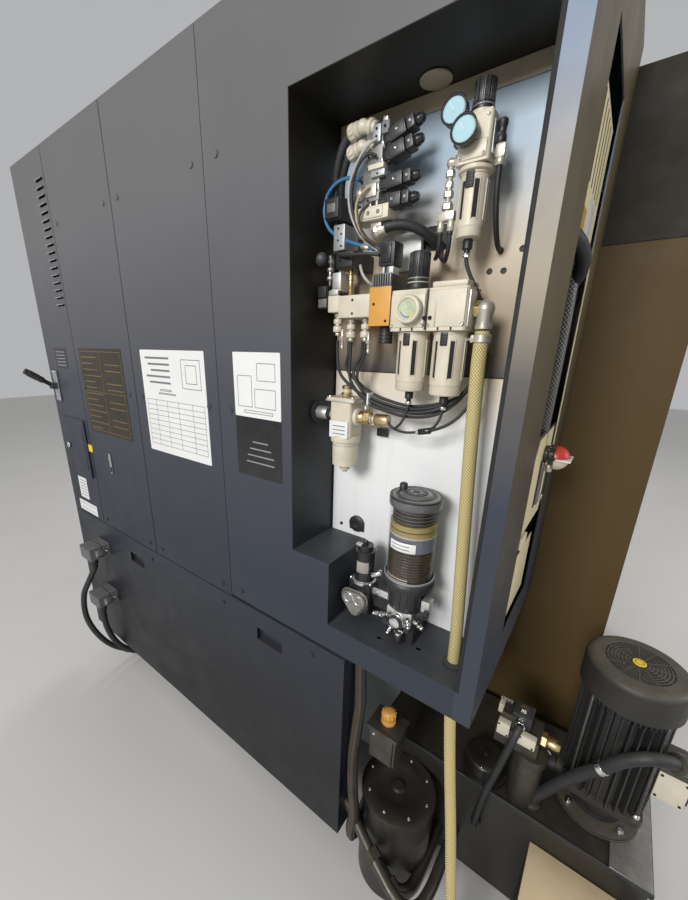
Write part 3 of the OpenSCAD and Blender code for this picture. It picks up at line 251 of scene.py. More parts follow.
# Enclosure back panel: the lower tone below the seam is painted shade with a warm brown cast, and the upper tone
# is near black
surface("back_shell", at_seam((0.085, 0.055, 0.021), (0.022, 0.018, 0.011)), 0.5, 0, 0.1, 2, dust=0.05,
        dust_to=(0.1, 0.075, 0.045), streak=0.08, spec=0.15)
surface("shell", at_seam((0.5, 0.47, 0.42), (0.052, 0.055, 0.062)), 0.45, 0, 0.06, 2, dust=0.15)
surface("light", (0.6, 0.6, 0.58), 0.42, 0, 0.05, 2.5, dust=0.12)
surface("casting", (0.27, 0.29, 0.3), 0.5, 0, 0.12, 6, 260, 0.35, dust=0.25)
surface("steel", (0.58, 0.58, 0.58), 0.32, 1, 0.12, 20, 600, 0.08)
surface("bright", (0.74, 0.74, 0.73), 0.2, 1, 0.1, 30, 500, 0.05)
surface("alu", (0.62, 0.61, 0.59), 0.42, 0.75, 0.1, 30, 700, 0.2, dust=0.12)
surface("grey_cast", (0.62, 0.56, 0.44), 0.45, 0.05, 0.08, 25, 800, 0.2, dust=0.1, edge=0.002)
surface("hood", (0.145, 0.145, 0.148), 0.5, 0.3, 0.12, 20, 500, 0.3, dust=0.25, edge=0.003)
surface("cream", (0.62, 0.56, 0.45), 0.45, 0.05, 0.1, 30, 700, 0.15, dust=0.1)
# Recess plates: white below, turning warm just under the joint, with a dark joint line; above it painted shade
# rises through warm brown to a blue-grey painted light at the top
surface("white_plate", by_height((1.38, (0.8, 0.81, 0.8)), (1.5144, (0.78, 0.68, 0.52)),
                                 (1.515, (0.075, 0.07, 0.075)),
                                 (1.6, (0.33, 0.25, 0.165)), (1.74, (0.55, 0.45, 0.32)),
                                 (1.9, (0.37, 0.47, 0.56))),
        0.36, 0, 0.05, 3, 900, 0.1, dust_to=(0.5, 0.36, 0.2), streak=0.18)
surface("black", (0.022, 0.022, 0.024), 0.42, 0, 0.2, 20, 600, 0.2, dust=0.1)
surface("black_gloss", (0.018, 0.018, 0.02), 0.22, 0, 0.2, 20, 500, 0.08, dust=0.06)
surface("rubber", (0.02, 0.02, 0.021), 0.55, 0, 0.25, 30, 400, 0.25, dust=0.12, edge=0)
surface("blue", (0.045, 0.17, 0.34), 0.35, 0, 0.12, 30, dust=0.1, edge=0)
surface("grey_cable", (0.42, 0.41, 0.38), 0.5, 0, 0.14, 30, dust=0.1, edge=0)
surface("brown_cable", (0.05, 0.036, 0.025), 0.55, 0, 0.3, 20, dust=0.2, edge=0)
surface("tan_cable", (0.4, 0.31, 0.2), 0.5, 0, 0.16, 30, dust=0.1, edge=0)
surface("orange", (0.6, 0.3, 0.055), 0.4, 0, 0.08, 20, dust=0.1)
surface("yellow", (0.85, 0.62, 0.03), 0.4, 0, 0.08, 30)
surface("red", (0.55, 0.03, 0.02), 0.35, 0, 0.1, 20, dust=0.1)
surface("brass", (0.66, 0.5, 0.24), 0.32, 1, 0.15, 30, 500, 0.12)
surface("amber", (0.022, 0.014, 0.008), 0.3, 0, 0.4, 18, 200, 0.1, edge=0, coat=0.15)
surface("ringed", (0.11, 0.085, 0.04), 0.35, 0, 0.3, 30, edge=0)
surface("band", (0.17, 0.19, 0.26), 0.3, 0, 0.1, 30, edge=0, coat=0.2)
surface("fitting", (0.6, 0.56, 0.47), 0.3, 0.6, 0.14, 30, 500, 0.1)
surface("valve_grey", (0.2, 0.195, 0.185), 0.4, 0.4, 0.2, 40, 600, 0.2, dust=0.1)
surface("solenoid", (0.04, 0.04, 0.042), 0.36, 0, 0.25, 30, 600, 0.15, dust=0.12)
surface("liner", (0.78, 0.68, 0.42), 0.45, 0, 0.14, 6, dust=0.1, stretch=(30, 30, 1.2))
surface("tank", (0.02, 0.018, 0.014), 0.42, 0, 0.25, 7, 500, dust=0.25, dust_to=(0.075, 0.062, 0.042), wear=0.3,
        wear_to=(0.07, 0.05, 0.03))
surface("pump", (0.022, 0.021, 0.02), 0.5, 0, 0.2, 12, 350, 0.3, dust=0.55, dust_to=(0.17, 0.145, 0.1))
surface("oily", (0.013, 0.012, 0.01), 0.34, 0, 0.3, 8, 300, 0.3, dust=0.25, dust_to=(0.07, 0.058, 0.04))
surface("iron", (0.075, 0.068, 0.056), 0.38, 0.6, 0.25, 25, 500, 0.2, dust=0.2, dust_to=(0.1, 0.08, 0.05))
surface("dull_cast", (0.3, 0.29, 0.265), 0.36, 0.7, 0.18, 30, 500, 0.2, dust=0.1)
surface("dark", (0.008, 0.008, 0.009), 0.7, 0, 0.2)
surface("dial", (0.4, 0.62, 0.68), 0.12, 0, 0.03, 40, edge=0, coat=0.7)
surface("olive_dial", (0.48, 0.52, 0.36), 0.2, 0, 0.2, 60, edge=0, coat=0.5)
surface("paper", (0.74, 0.74, 0.72), 0.35, 0, 0.03, 6, edge=0, coat=0.25)
surface("bronze", (0.05, 0.038, 0.024), 0.28, 0.4, 0.15, 6, edge=0)
surface("gold", (0.42, 0.29, 0.12), 0.3, 0.8, 0.1, 20, edge=0)
surface("ink", (0.16, 0.17, 0.18), 0.5, 0, 0.1, 20, edge=0)
surface("silver_label", (0.4, 0.41, 0.42), 0.38, 0.5, 0.08, 30, edge=0)
surface("screen", (0.03, 0.06, 0.09), 0.12, 0, 0.15, 8, edge=0, coat=0.8)
surface("window", (0.1, 0.13, 0.14), 0.08, 0, 0.1, 3, edge=0, coat=0.9, spec=0.8)
surface("glass", (0.1, 0.09, 0.075), 0.05, 0, 0.04, 20, bump=0.02, edge=0, spec=0.9, alpha=0.1)
surface("lid", (0.105, 0.105, 0.11), 0.28, 0, 0.12, 20, dust=0.2, coat=0.3)
surface("follower", (0.42, 0.33, 0.12), 0.4, 0, 0.2, 25, edge=0)
surface("tag", (0.34, 0.3, 0.27), 0.4, 0, 0.1, 25, edge=0)
surface("tan_trim", (0.34, 0.29, 0.2), 0.45, 0, 0.14, 14, dust=0.1)
surface("step_paint", (0.66, 0.52, 0.32), 0.42, 0, 0.12, 6, dust=0.1, wear=0.2, wear_to=(0.3, 0.22, 0.12))
braid("hose", (0.52, 0.42, 0.16), (0.87, 0.74, 0.38))
braid("conduit", (0.045, 0.043, 0.04), (0.3, 0.28, 0.24), 0.45)

for key, names in {
    "navy": "cabinet_shell strip_panel cabinet_cover_a cabinet_cover_b lower_rear_panel access_flap",
    "box_navy": "service_box",
    "back_shell": "enclosure_back_panel",
    "shell": "left_side_panel right_side_panel front_fascia roof_panel",
    "light": "spindle_head left_front_door right_front_door control_pendant",
    "casting": "base_casting column saddle magazine_bracket magazine_carriage",
    "steel": "leveling_feet fixed_guide_rails chip_pan work_table tool_disc",
    "bright": "spindle x_ball_screw y_ball_screw z_ball_screw",
    "black": "axis_servos x_servo spindle_motor lubricator_base disconnect_lever "
             "regulator_knob_upper regulator_knob_lower",
    "white_plate": "recess_plates",
    "grey_cast": "regulator_bodies filter_bowls air_filter",
    "black_gloss": "pressure_gauges",
    "hood": "connector_hoods",
    "brass": "hose_coupling",
    "iron": "coolant_manifold",
    "solenoid": "pressure_switches",
    "tank": "coolant_tank",
    "pump": "wash_pump_motor fan_cover cooling_fan",
    "oily": "transfer_pumps",
    "red": "emergency_stop",
}.items():
    for name in names.split():
        NODES[name].data.materials.clear()
        NODES[name].data.materials.append(M[key])


# Mesh building, in millimetres in the row frame
def smooth_line(points, step=14):
    pts = [Vector(p) for p in points]
    ends = [pts[0] * 2 - pts[1], *pts, pts[-1] * 2 - pts[-2]]
    out = []
    for i in range(1, len(ends) - 2):
        p0, p1, p2, p3 = ends[i - 1:i + 3]
        count = max(2, int((p2 - p1).length / step))
        for k in range(count):
            t = k / count
            out.append(0.5 * (2 * p1 + (p2 - p0) * t + (2 * p0 - 5 * p1 + 4 * p2 - p3) * t * t
                              + (3 * p1 - p0 - 3 * p2 + p3) * t ** 3))
    out.append(pts[-1])
    return out


AXES = {name: Matrix(rows).to_4x4() for name, rows in {
    "x": ((0, 0, 1), (1, 0, 0), (0, 1, 0)),
    "y": ((-1, 0, 0), (0, 0, 1), (0, 1, 0)),
    "z": ((1, 0, 0), (0, 1, 0), (0, 0, 1)),
    "-x": ((0, 0, -1), (-1, 0, 0), (0, 1, 0)),
    "-y": ((1, 0, 0), (0, 0, -1), (0, 1, 0)),
    "-z": ((1, 0, 0), (0, -1, 0), (0, 0, -1)),
}.items()}


def place(p, axis="z", spin=0):
    turn = AXES[axis] if isinstance(axis, str) else Vector(axis).to_track_quat("Z", "Y").to_matrix().to_4x4()
    return Matrix.Translation(Vector(p)) @ turn @ Matrix.Rotation(math.radians(spin), 4, "Z")


def circle(r, n, start=0, span=360, steps=None):
    angles = [math.radians(start + span * k / n) for k in range(steps or n)]
    return [(r * math.cos(a), r * math.sin(a)) for a in angles]


def rounded(w, h, r, n=5):
    corners = ((w / 2 - r, h / 2 - r), (r - w / 2, h / 2 - r), (r - w / 2, r - h / 2), (w / 2 - r, r - h / 2))
    return [(cx + x, cy + y) for i, (cx, cy) in enumerate(corners) for x, y in circle(r, n, 90 * i, 90, n + 1)]


# A mesh whose points count from home, while a matrix given as a place counts from the row frame
class Piece:
    def __init__(self, name, *home):
        self.name = name
        self.bm = bmesh.new()
        self.uv = self.bm.loops.layers.uv.new("UVMap")
        self.painted = self.bm.faces.layers.int.new("painted")
        self.mats = []
        self.move(*home)

    def move(self, x=0, y=0, z=0):
        self.home = Vector((x, y, z))

    def spot(self, at=(0, 0, 0), axis="z", spin=0):
        return at if isinstance(at, Matrix) else place(self.home + Vector(at), axis, spin)

    def points(self, at, points):
        return [self.bm.verts.new(at @ Vector(p)) for p in points]

    def bridge(self, low, high, n=None):
        return [self.bm.faces.new((low[k], low[(k + 1) % len(low)], high[(k + 1) % len(low)], high[k]))
                for k in range(n or len(low))]

    def paint(self, key):
        if key not in self.mats:
            self.mats.append(key)
        for f in self.bm.faces:
            if not f[self.painted]:
                f.material_index = self.mats.index(key)
                f[self.painted] = 1

    def box(self, a, b, key, r=1, at=None):
        a, b = Vector(a), Vector(b)
        size = [abs(v) for v in (b - a)]
        m = (at or Matrix.Translation(self.home)) @ Matrix.Translation((a + b) / 2) @ Matrix.Diagonal((*size, 1))
        made = bmesh.ops.create_cube(self.bm, size=1, matrix=m)
        r = min(r, min(size) * 0.45)
        if r > 0.05:
            edges = list({e for v in made["verts"] for e in v.link_edges})
            bmesh.ops.bevel(self.bm, geom=edges, offset=r, segments=2, affect="EDGES", profile=0.6)
        self.paint(key)

    def boxes(self, key, *rows):
        for row in rows:
            self.box(row[:3], row[3:6], key, row[6])

    def ribs(self, n, at, a, b, key, r):
        for k in range(n):
            self.box(a, b, key, r, at @ Matrix.Rotation(2 * math.pi * k / n, 4, "Z"))

    def prism(self, outline, h, key, at, taper=1, z0=0):
        low = self.points(at, [(x, y, z0) for x, y in outline])
        high = self.points(at, [(x * taper, y * taper, z0 + h) for x, y in outline])
        self.bridge(low, high)
        self.bm.faces.new(low[::-1])
        self.bm.faces.new(high)
        self.paint(key)

    def lathe(self, profile, key, at=(0, 0, 0), n=32, axis="z", a0=0, a1=360, loop=False):
        at = self.spot(at, axis)
        whole = a1 - a0 == 360
        rings = []
        for r, h in profile:
            flat = circle(r, n, a0, a1 - a0, n if whole else n + 1) if r else [(0, 0)]
            rings.append(self.points(at, [(x, y, h) for x, y in flat]))
        if loop:
            rings.append(rings[0])
        for lo, hi in zip(rings, rings[1:]):
            if len(lo) > 1 and len(hi) > 1:
                self.bridge(lo, hi, n)
            elif len(lo) + len(hi) > 2:
                tip, ring = min(lo, hi, key=len)[0], max(lo, hi, key=len)
                for k in range(n):
                    self.bm.faces.new((ring[k], ring[(k + 1) % len(ring)], tip))
        if whole and not loop:
            for ring in (rings[0], rings[-1]):
                if len(ring) > 1:
                    self.bm.faces.new(ring)
        self.paint(key)

    def rod(self, p, q, d, key, r=0.6, n=24, d2=None):
        p, q = Vector(p), Vector(q)
        length = (q - p).length
        r1, r2 = d / 2, (d2 or d) / 2
        r = min(r, length * 0.3, r1 * 0.4, r2 * 0.4)
        self.lathe([(r1 - r, 0), (r1, r), (r2, length - r), (r2 - r, length)], key, p, n, q - p)

    def ball(self, p, d, key):
        bmesh.ops.create_uvsphere(self.bm, u_segments=20, v_segments=12, radius=d / 2,
                                  matrix=Matrix.Translation(self.home + Vector(p)))
        self.paint(key)

    def ring(self, p, axis, big, small, key, n=36, m=10):
        tube = [(big / 2 + x, y) for x, y in circle(small / 2, m)]
        self.lathe(tube, key, p, n, axis, loop=True)

    def tube(self, points, d, key, n=14, step=12, ribs=0, pitch=6, raw=False):
        line = [self.home + p for p in (points if raw else smooth_line(points, pitch / 4 if ribs else step))]
        tangent = [(line[min(i + 1, len(line) - 1)] - line[max(i - 1, 0)]).normalized() for i in range(len(line))]
        side = tangent[0].orthogonal().normalized()
        rings, runs, run = [], [], 0
        for i, p in enumerate(line):
            side = (side - tangent[i] * side.dot(tangent[i])).normalized()
            other = tangent[i].cross(side)
            if i:
                run += (p - line[i - 1]).length
            runs.append(run)
            r = d / 2 * (1 - ribs * (0.5 - 0.5 * math.cos(2 * math.pi * run / pitch)))
            rings.append([self.bm.verts.new(p + x * side + y * other) for x, y in circle(r, n)])
        for i in range(len(line) - 1):
            for k, f in enumerate(self.bridge(rings[i], rings[i + 1])):
                for loop, (u, v) in zip(f.loops, ((k, i), (k + 1, i), (k + 1, i + 1), (k, i + 1))):
                    loop[self.uv].uv = (u / n * 3, runs[v] / (math.pi * d) * 3)
        self.bm.faces.new(rings[0][::-1])
        self.bm.faces.new(rings[-1])
        self.paint(key)

    def hexagon(self, p, axis, across, h, key, spin=0):
        self.prism(circle(across / math.sqrt(3), 6), h, key, self.spot(p, axis, spin))

    def screw(self, p, axis, d, key="bright", h=None):
        h = h or d * 0.45
        self.lathe([(d / 2, 0), (d / 2, h * 0.6), (d * 0.36, h), (d * 0.22, h), (d * 0.18, h * 0.5),
                    (0, h * 0.5)],
                   key, p, 20, axis)

    def screws(self, axis, d, key, *spots):
        for p in spots:
            self.screw(p, axis, d, key)

    def done(self, body="machine", replaces=None):
        bmesh.ops.recalc_face_normals(self.bm, faces=self.bm.faces[:])
        for f in self.bm.faces:
            f.smooth = True
        for e in self.bm.edges:
            if len(e.link_faces) != 2 or e.calc_face_angle(0) > SHARP:
                e.smooth = False
        mesh = bpy.data.meshes.new(self.name)
        bmesh.ops.scale(self.bm, vec=(MM, MM, MM), verts=self.bm.verts[:])
        self.bm.to_mesh(mesh)
        self.bm.free()
        for key in self.mats:
            mesh.materials.append(M[key])
        obj = add(self.name, mesh)
        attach(obj, body)
        if replaces:
            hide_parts(replaces)
        return obj


# Cords: the braided supply hose and the two connector cables
SUPPLY = [
    (-731, 955, 1599.7), (-731, 955, 1540), (-735, 956, 1450), (-741, 958, 1340), (-749, 961, 1220),
    (-758, 966, 1090), (-766, 971, 970), (-770, 974, 860), (-778, 978, 780), (-791, 985, 680),
    (-808, 994, 570), (-827, 1006, 460), (-846, 1022, 350), (-866, 1044, 245), (-882, 1076, 155),
    (-896, 1122, 82), (-916, 1180, 34), (-948, 1240, 15), (-1000, 1286, 14), (-1070, 1310, 14),
    (-1140, 1316, 14), (-1200, 1312, 14),
]
CABLES = [
    [(800, 1108, 637.7), (800, 1108, 606), (826, 1130, 540), (872, 1146, 460), (900, 1150, 370), (900, 1146, 290),
     (874, 1128, 215), (852, 1092, 142), (848, 1036, 74), (848, 960, 22), (844, 700, 13), (838, 530, 34),
     (838, 484, 88), (838, 462, 120), (838, 444.3, 120)],
    [(800, 1108, 392.7), (800, 1108, 350), (798, 1106, 280), (796, 1084, 190), (798, 1046, 116),
     (802, 982, 44), (800, 880, 13), (778, 530, 34), (778, 484, 88), (778, 462, 120), (778, 444.3, 120)],
]
supply_line = smooth_line(SUPPLY, 9)
hose = Piece("supply_hose_braided")
hose.tube(supply_line, 26, "hose", 24, raw=True)
supply = hose.done(replaces="supply_hose")


# Rear face: labels, latch, louvre lips
def face_plate(piece, x0, x1, z0, z1, key, r=4):
    piece.prism(rounded(x1 - x0, z1 - z0, r), 0.8, key, place(((x0 + x1) / 2, REAR, (z0 + z1) / 2), "y"))


def bars(piece, key, *rows):
    for x0, x1, z0, z1 in rows:
        piece.box((x0, REAR, z0), (x1, REAR + 1, z1), key, 0)


def box_outlines(piece, w, *rows):
    for x0, x1, z0, z1 in rows:
        bars(piece, "ink", (x0, x1, z0, z0 + w), (x0, x1, z1, z1 + w), (x0, x0 + w, z0, z1), (x1, x1 + w, z0, z1))


def build_face():
    p = Piece("dark_chart_plate")
    face_plate(p, 398, 725, 1240, 1556, "bronze")
    for i, z in enumerate(range(1528, 1262, -22)):
        w = SEED.choice([90, 120, 140])
        bars(p, "gold", (708 - w, 708, z - 5, z - 2))
        if i % 3:
            bars(p, "gold", (420, 530, z - 6, z - 3))
    bars(p, "gold", *[(x, x + 1.6, 1252, 1544) for x in (408, 561, 714)])
    bars(p, "gold", *[(408, 716, z, z + 1.6) for z in (1250, 1400, 1544)])
    p.done()
    p = Piece("white_chart_plate")
    face_plate(p, -48, 276, 1238, 1556, "paper")
    bars(p, "ink", *[(-36, 262, z, z + 1.4) for z in range(1262, 1420, 16)])
    bars(p, "ink", *[(x, x + 1.4, 1262, 1408) for x in (-36, 20, 90, 150, 210, 262)])
    box_outlines(p, 2, (-28, 60, 1450, 1530), (-10, 40, 1465, 1515), (120, 180, 1436, 1440),
                 (100, 190, 1426, 1429))
    bars(p, "ink", *[(120, 250 - 14 * (i % 3), 1530 - 18 * i, 1536 - 18 * i) for i in range(5)])
    p.done()
    p = Piece("two_tone_chart_plate")
    face_plate(p, -326, -165, 1400, 1556, "paper", 3)
    face_plate(p, -326, -165, 1244, 1399.5, "black_gloss", 3)
    box_outlines(p, 1.6, (-310, -240, 1425, 1470), (-230, -180, 1425, 1500), (-310, -250, 1490, 1530),
                 (-300, -200, 1410, 1416))
    bars(p, "silver_label", (-300, -205, 1300, 1303), (-290, -215, 1318, 1321), (-280, -225, 1336, 1339),
         (-300, -200, 1282, 1285))
    p.done()
    p = Piece("strip_labels")
    face_plate(p, 843, 960, 1475, 1554, "black_gloss", 3)
    bars(p, "silver_label", *[(860, 945, z, z + 3) for z in range(1486, 1550, 13)])
    face_plate(p, 875, 959, 898, 999, "paper", 3)
    bars(p, "ink", *[(884, 950 - 8 * (i % 2), 912 + i * 14, 915 + i * 14) for i in range(6)])
    face_plate(p, 814, 990, 830, 880, "paper", 3)
    bars(p, "ink", (825, 980, 842, 844), (825, 980, 866, 868))
    face_plate(p, 753, 787, 1142, 1172, "yellow", 3)
    p.done()
    p = Piece("cover_latch", 602, REAR, 1122)
    p.prism(rounded(24, 92, 12, 8), 1.6, "black", p.spot(axis="y"))
    p.prism(rounded(16, 84, 8, 8), 2.6, "silver_label", p.spot(axis="y"))
    p.lathe([(6, 2.4), (6, 5), (5, 5.6), (2, 5.6), (0, 3)], "bright", (0, 0, 20), 20, "y")
    p.box((-6, 0, -36), (6, 3.4, -14), "dark", 1)
    p.done()
    p = Piece("louvre_lips")
    for z in range(1714, 2139, 25):
        p.prism([(0, 0), (6.5, -1.5), (7.2, -4), (6.4, -4.4), (5.4, -2.8), (0, -1.5)], 60, "silver_label",
                place((775, REAR, z), "x"))
    p.done()


build_face()


# Lever switch, flap lock and side strip hardware
def build_strip():
    p = Piece("lever_plate_trim", 990, REAR + 5, 1400)
    p.prism(rounded(46, 126, 4), 0.8, "silver_label", p.spot(axis="y"))
    for sx, sz in CORNERS:
        p.screw((sx * 17, 0.8, sz * 56), "y", 7)
    p.done()
    p = Piece("lever_grip")
    turn = Matrix.Translation((990, 1068, 1400)) @ Matrix.Rotation(math.radians(35), 4, "X") @ AXES["y"]
    p.lathe([(11, 40), (12.8, 44), (12.8, 52), (11.8, 56), (13.2, 70), (13.6, 88), (12.4, 104), (9, 112),
             (0, 113.5)],
            "black", turn, 28)
    for h in range(62, 102, 8):
        p.lathe([(13, h), (14.2, h + 1.5), (13, h + 4)], "rubber", turn, 28)
    p.done("disconnect_lever")
    p = Piece("flap_lock")
    p.lathe([(13, 0), (13, 3), (11, 5), (6, 5.4), (6, 4.4), (0, 4.4)], "bright", (964, REAR + 10, 1145), 28, "y")
    p.box((962.8, REAR + 10, 1138), (965.2, REAR + 15, 1152), "dark", 0.2)
    p.prism(rounded(150, 190, 8), 1.2, "navy", place((890, REAR + 4, 1145), "y"))
    p.done("access_flap")


build_strip()


def build_connectors():
    for n, z in enumerate((690, 445), 1):
        p = Piece(f"connector_trim_{n}", 800, REAR, z)
        p.box((-51, 0, -31), (51, 6, 31), "hood", 2)
        for sx in SIDES:
            p.box((sx * 47, 22, -15), (sx * 53, 62, 15), "bright", 2)
            p.rod((sx * 46, 14, 0), (sx * 55, 14, 0), 9, "bright")
        p.box((-48, 28, -27), (48, 33, 28.4), "rubber", 1.5)
        p.lathe([(17, 0), (18.5, 4), (18.5, 14), (17, 18)], "black", (0, 58, -66), 28)
        p.lathe([(12.6, 0), (14, 22), (15, 24)], "rubber", (0, 58, -88), 24)
        p.done()
    p = Piece("connector_leads")
    for route in CABLES:
        p.tube(route, 25, "rubber", 18, 10)
    for x in (838, 778):
        p.lathe([(18, 0), (18, 9), (16, 12), (13.4, 16)], "black", (x, 432, 120), 28, "y")
    p.done(replaces="connector_cables")


build_connectors()


# Air preparation units
def bowl_details(p, x, z, h, d):
    p.move(x, UNIT_Y, z)
    foot, r, low = p.spot((0, 0, -h)), d / 2, h * 0.3
    p.ribs(6, foot, (r - 2.7, -3.7, h * 0.29), (r - 1.4, 3.7, h * 0.84), "dark", 0.2)
    for s in SIDES:
        p.ribs(6, foot, (r - 1.2, s * 4.6 - 0.6, h * 0.26), (r + 0.9, s * 4.6 + 0.6, h * 0.87), "grey_cast", 0.3)
    p.lathe([(r - 0.5, 0), (r + 1.2, 0.8), (r + 1.2, 5), (r - 0.5, 6)], "grey_cast", (0, 0, -6.2), 40)
    p.lathe([(r - 1.4, low), (r - 1, 4), (r - 2.6, 1.2), (8, 0.6), (8, 3), (r - 5, 4), (r - 3, low)],
            "grey_cast", foot, 44, loop=True)
    p.box((-6, r - 2, -26), (7, r + 3, -3), "black", 1.5)
    for k in range(4):
        p.box((-5, r + 2.6, -23 + 4.6 * k), (6, r + 3.6, -21 + 4.6 * k), "rubber", 0.3)
    p.lathe([(7, 0), (8.4, -2), (8.4, -15), (5, -17), (5, -24)], "black", foot, 24)
    p.hexagon((0, 0, -h - 28), "z", 11, 6, "bright", 14)
    p.ring((0, 0, -h - 24), "z", 10, 3, "bright", 20, 8)


def knob_ribs(name, body, x, z, h, d):
    p = Piece(name, x, UNIT_Y, z)
    r = d / 2
    p.lathe([(r - 1.5, h), (r - 3.5, h + 1.8), (r - 8, h + 2.4), (0, h + 2)], "black", n=36)
    p.ribs(30, p.spot(), (r - 1.6, -1.1, 9), (r + 0.5, 1.1, h - 1), "black_gloss", 0.5)
    p.ring((0, 0, 6), "z", d + 0.4, 2.2, "silver_label", 40, 8)
    p.done(body)


def dial(p, x, y, z, d, lens="dial", rim="black_gloss"):
    p.move(x, y, z)
    r = d / 2
    p.lathe([(r - 2.6, -2.6), (r - 2.6, -0.4), (r, -0.4), (r + 0.8, 0.6), (r - 0.4, 1.6), (r - 2.2, 1.4),
             (r - 2.8, 0.2)], rim, n=40, axis="y", loop=True)
    p.lathe([(0, -1.6), (r - 2.7, -1.6), (r - 2.7, -1), (0, -1)], lens, n=40, axis="y")
    for k in range(-4, 5):
        p.box((r - 5.4, -0.25, -1), (r - 3.8, 0.25, -0.8), "silver_label", 0,
              p.spot(axis="y", spin=90 + k * 33))
    p.box((-3, -0.35, -1), (r - 7, 0.35, -0.6), "paper", 0, p.spot(axis="y", spin=125))
    p.lathe([(1.6, -1), (1.2, -0.4), (0, -0.3)], "silver_label", n=16, axis="y")


def build_air_units():
    p = Piece("upper_unit_details")
    bowl_details(p, UPPER_X, 1845, 96, 44)
    p.boxes("grey_cast", (-22, 24, 11, 22, 28, 35, 2), (-24, -24, 70, 24, 24, 74, 1.5))
    p.box((-27.4, -16, 17), (-25.4, 16, 61), "silver_label", 0.8)
    p.lathe([(25, 0), (27.4, 1.5), (27.4, 7), (25, 9)], "grey_cast", (0, 0, -2), 44)
    for s in SIDES:
        p.screws("y", 5, "bright", (s * 19, 26, 65), (s * 18, 28, 15))
    p.done()
    p = Piece("lower_unit_details")
    for x, h in ((LOWER_X, 114), (BOWL_X, 118)):
        bowl_details(p, x, 1600, h, 61)
        for s in SIDES:
            p.screw((s * 31, 37, 10), "y", 6)
            p.box((s * 12 - 1.5, 36, 0.5), (s * 12 + 1.5, 37.8, 6), "dark", 0.2)
    p.move(0, UNIT_Y, 1600)
    p.boxes("grey_cast", (-634, 35, 6, -566, 38.4, 64, 3), (-708, 35, 6, -641, 38, 68, 2.5),
            (-706, -32, 72, -642, 32, 83, 4))
    p.box((-656, 37, 6), (-654.6, 39, 68), "silver_label", 0.5)
    p.box((-638.2, -34, 2), (-635.8, 37.4, 70), "black", 0.3)
    p.screws("y", 7, "dark", (-646, 38, 22), (-635, 38, 22))
    for x in (-563, -711):
        p.box((x - 2, -30, 6), (x + 2, 30, 66), "alu", 1)
    p.lathe([(19.6, 0), (20.4, 1), (20.4, 14), (18, 16.4)], "black", (LOWER_X, 0, 72), 36)
    p.done()
    p = Piece("gauge_dials")
    dial(p, -677, 1006, 1889, 40)
    dial(p, -654, 995.3, 1923, 40)
    dial(p, -608, 1010, 1637, 42, "olive_dial", "cream")
    p.lathe([(17, -1), (19, 0.4), (23.5, 1.6), (24.5, 0), (24.5, -10), (22, -12), (17, -4)], "grey_cast",
            n=44,
            axis="y", loop=True)
    for key, a0, a1 in (("blue", 200, 290), ("yellow", 295, 330)):
        p.lathe([(14.5, -1), (14.5, -0.7), (12.6, -0.7), (12.6, -1)], key, n=24, axis="y", a0=a0, a1=a1)
    p.done()
    knob_ribs("upper_knob_ribs", "upper_knob", UPPER_X, 1925.3, 40, 33)
    knob_ribs("lower_knob_ribs", "lower_knob", LOWER_X, 1688.3, 50, 38)
    p = Piece("air_fitting_details", -643, UNIT_Y, 1868)
    p.ball((0, 0, 0), 16, "fitting")
    for a, b, d in (((-18, 0, 0), (0, 0, 0), 13), ((0, 0, 0), (0, 0, -78), 9), ((-69, 0, -2), (-81, 0, -2), 12),
                    ((-68, 0, -232), (-88, 0, -232), 26), ((-9, 0, -102), (-9, 0, -84), 12),
                    ((9, 0, -102), (9, 0, -84), 12)):
        p.rod(a, b, d, "fitting")
    for z, d in ((-20, 14), (-36, 12), (-50, 15), (-68, 17)):
        p.hexagon((0, 0, z), "z", d, 8, "fitting", 12)
        p.ring((0, 0, z + 10), "z", d * 0.8, 2.4, "fitting", 24, 8)
    p.hexagon((-15, 0, 0), "x", 17, 7, "fitting")
    p.box((-15, -7, -86), (15, 7, -71), "fitting", 2)
    for x in (-9, 9):
        p.rod((x, 0, -108), (x, 0, -101), 10, "black")
    p.move(-723, UNIT_Y, 1847)
    p.lathe([(6, 0), (8, 2), (8, 12), (6.4, 15), (6.4, 24), (7.6, 26), (7.6, 33), (4, 36), (0, 36)], "black",
            (3, 0, 27), 28)
    p.box((1, -7, 29), (12, 7, 45), "black", 3)
    p.box((-8, -9, 9), (8, 9, 29), "fitting", 4)
    p.lathe([(7, 0), (8.5, 2), (8.5, 9), (7, 11)], "fitting", n=24)
    p.move(ELBOW_X, UNIT_Y, 1636)
    p.ball((0, 0, 0), 31.6, "fitting")
    p.lathe([(13.4, -34), (14.6, -33), (14.6, -26), (13.4, -25), (13.4, -10), (14.6, -8), (14.6, -3), (13, 0)],
            "fitting")
    p.hexagon((8, 0, 0), "x", 27, 9, "brass", 8)
    p.lathe([(14.4, 0), (15.6, 1), (15.6, 13), (14.4, 14)], "fitting", (0, 0, -56), 36)
    p.box((10, -3, -56), (18, 9, -43), "fitting", 1.5)
    p.rod((8, 3, -50), (28, 3, -50), 5, "fitting")
    p.hexagon((24, 3, -50), "x", 9, 5, "fitting")
    p.done(replaces="air_fittings")


build_air_units()


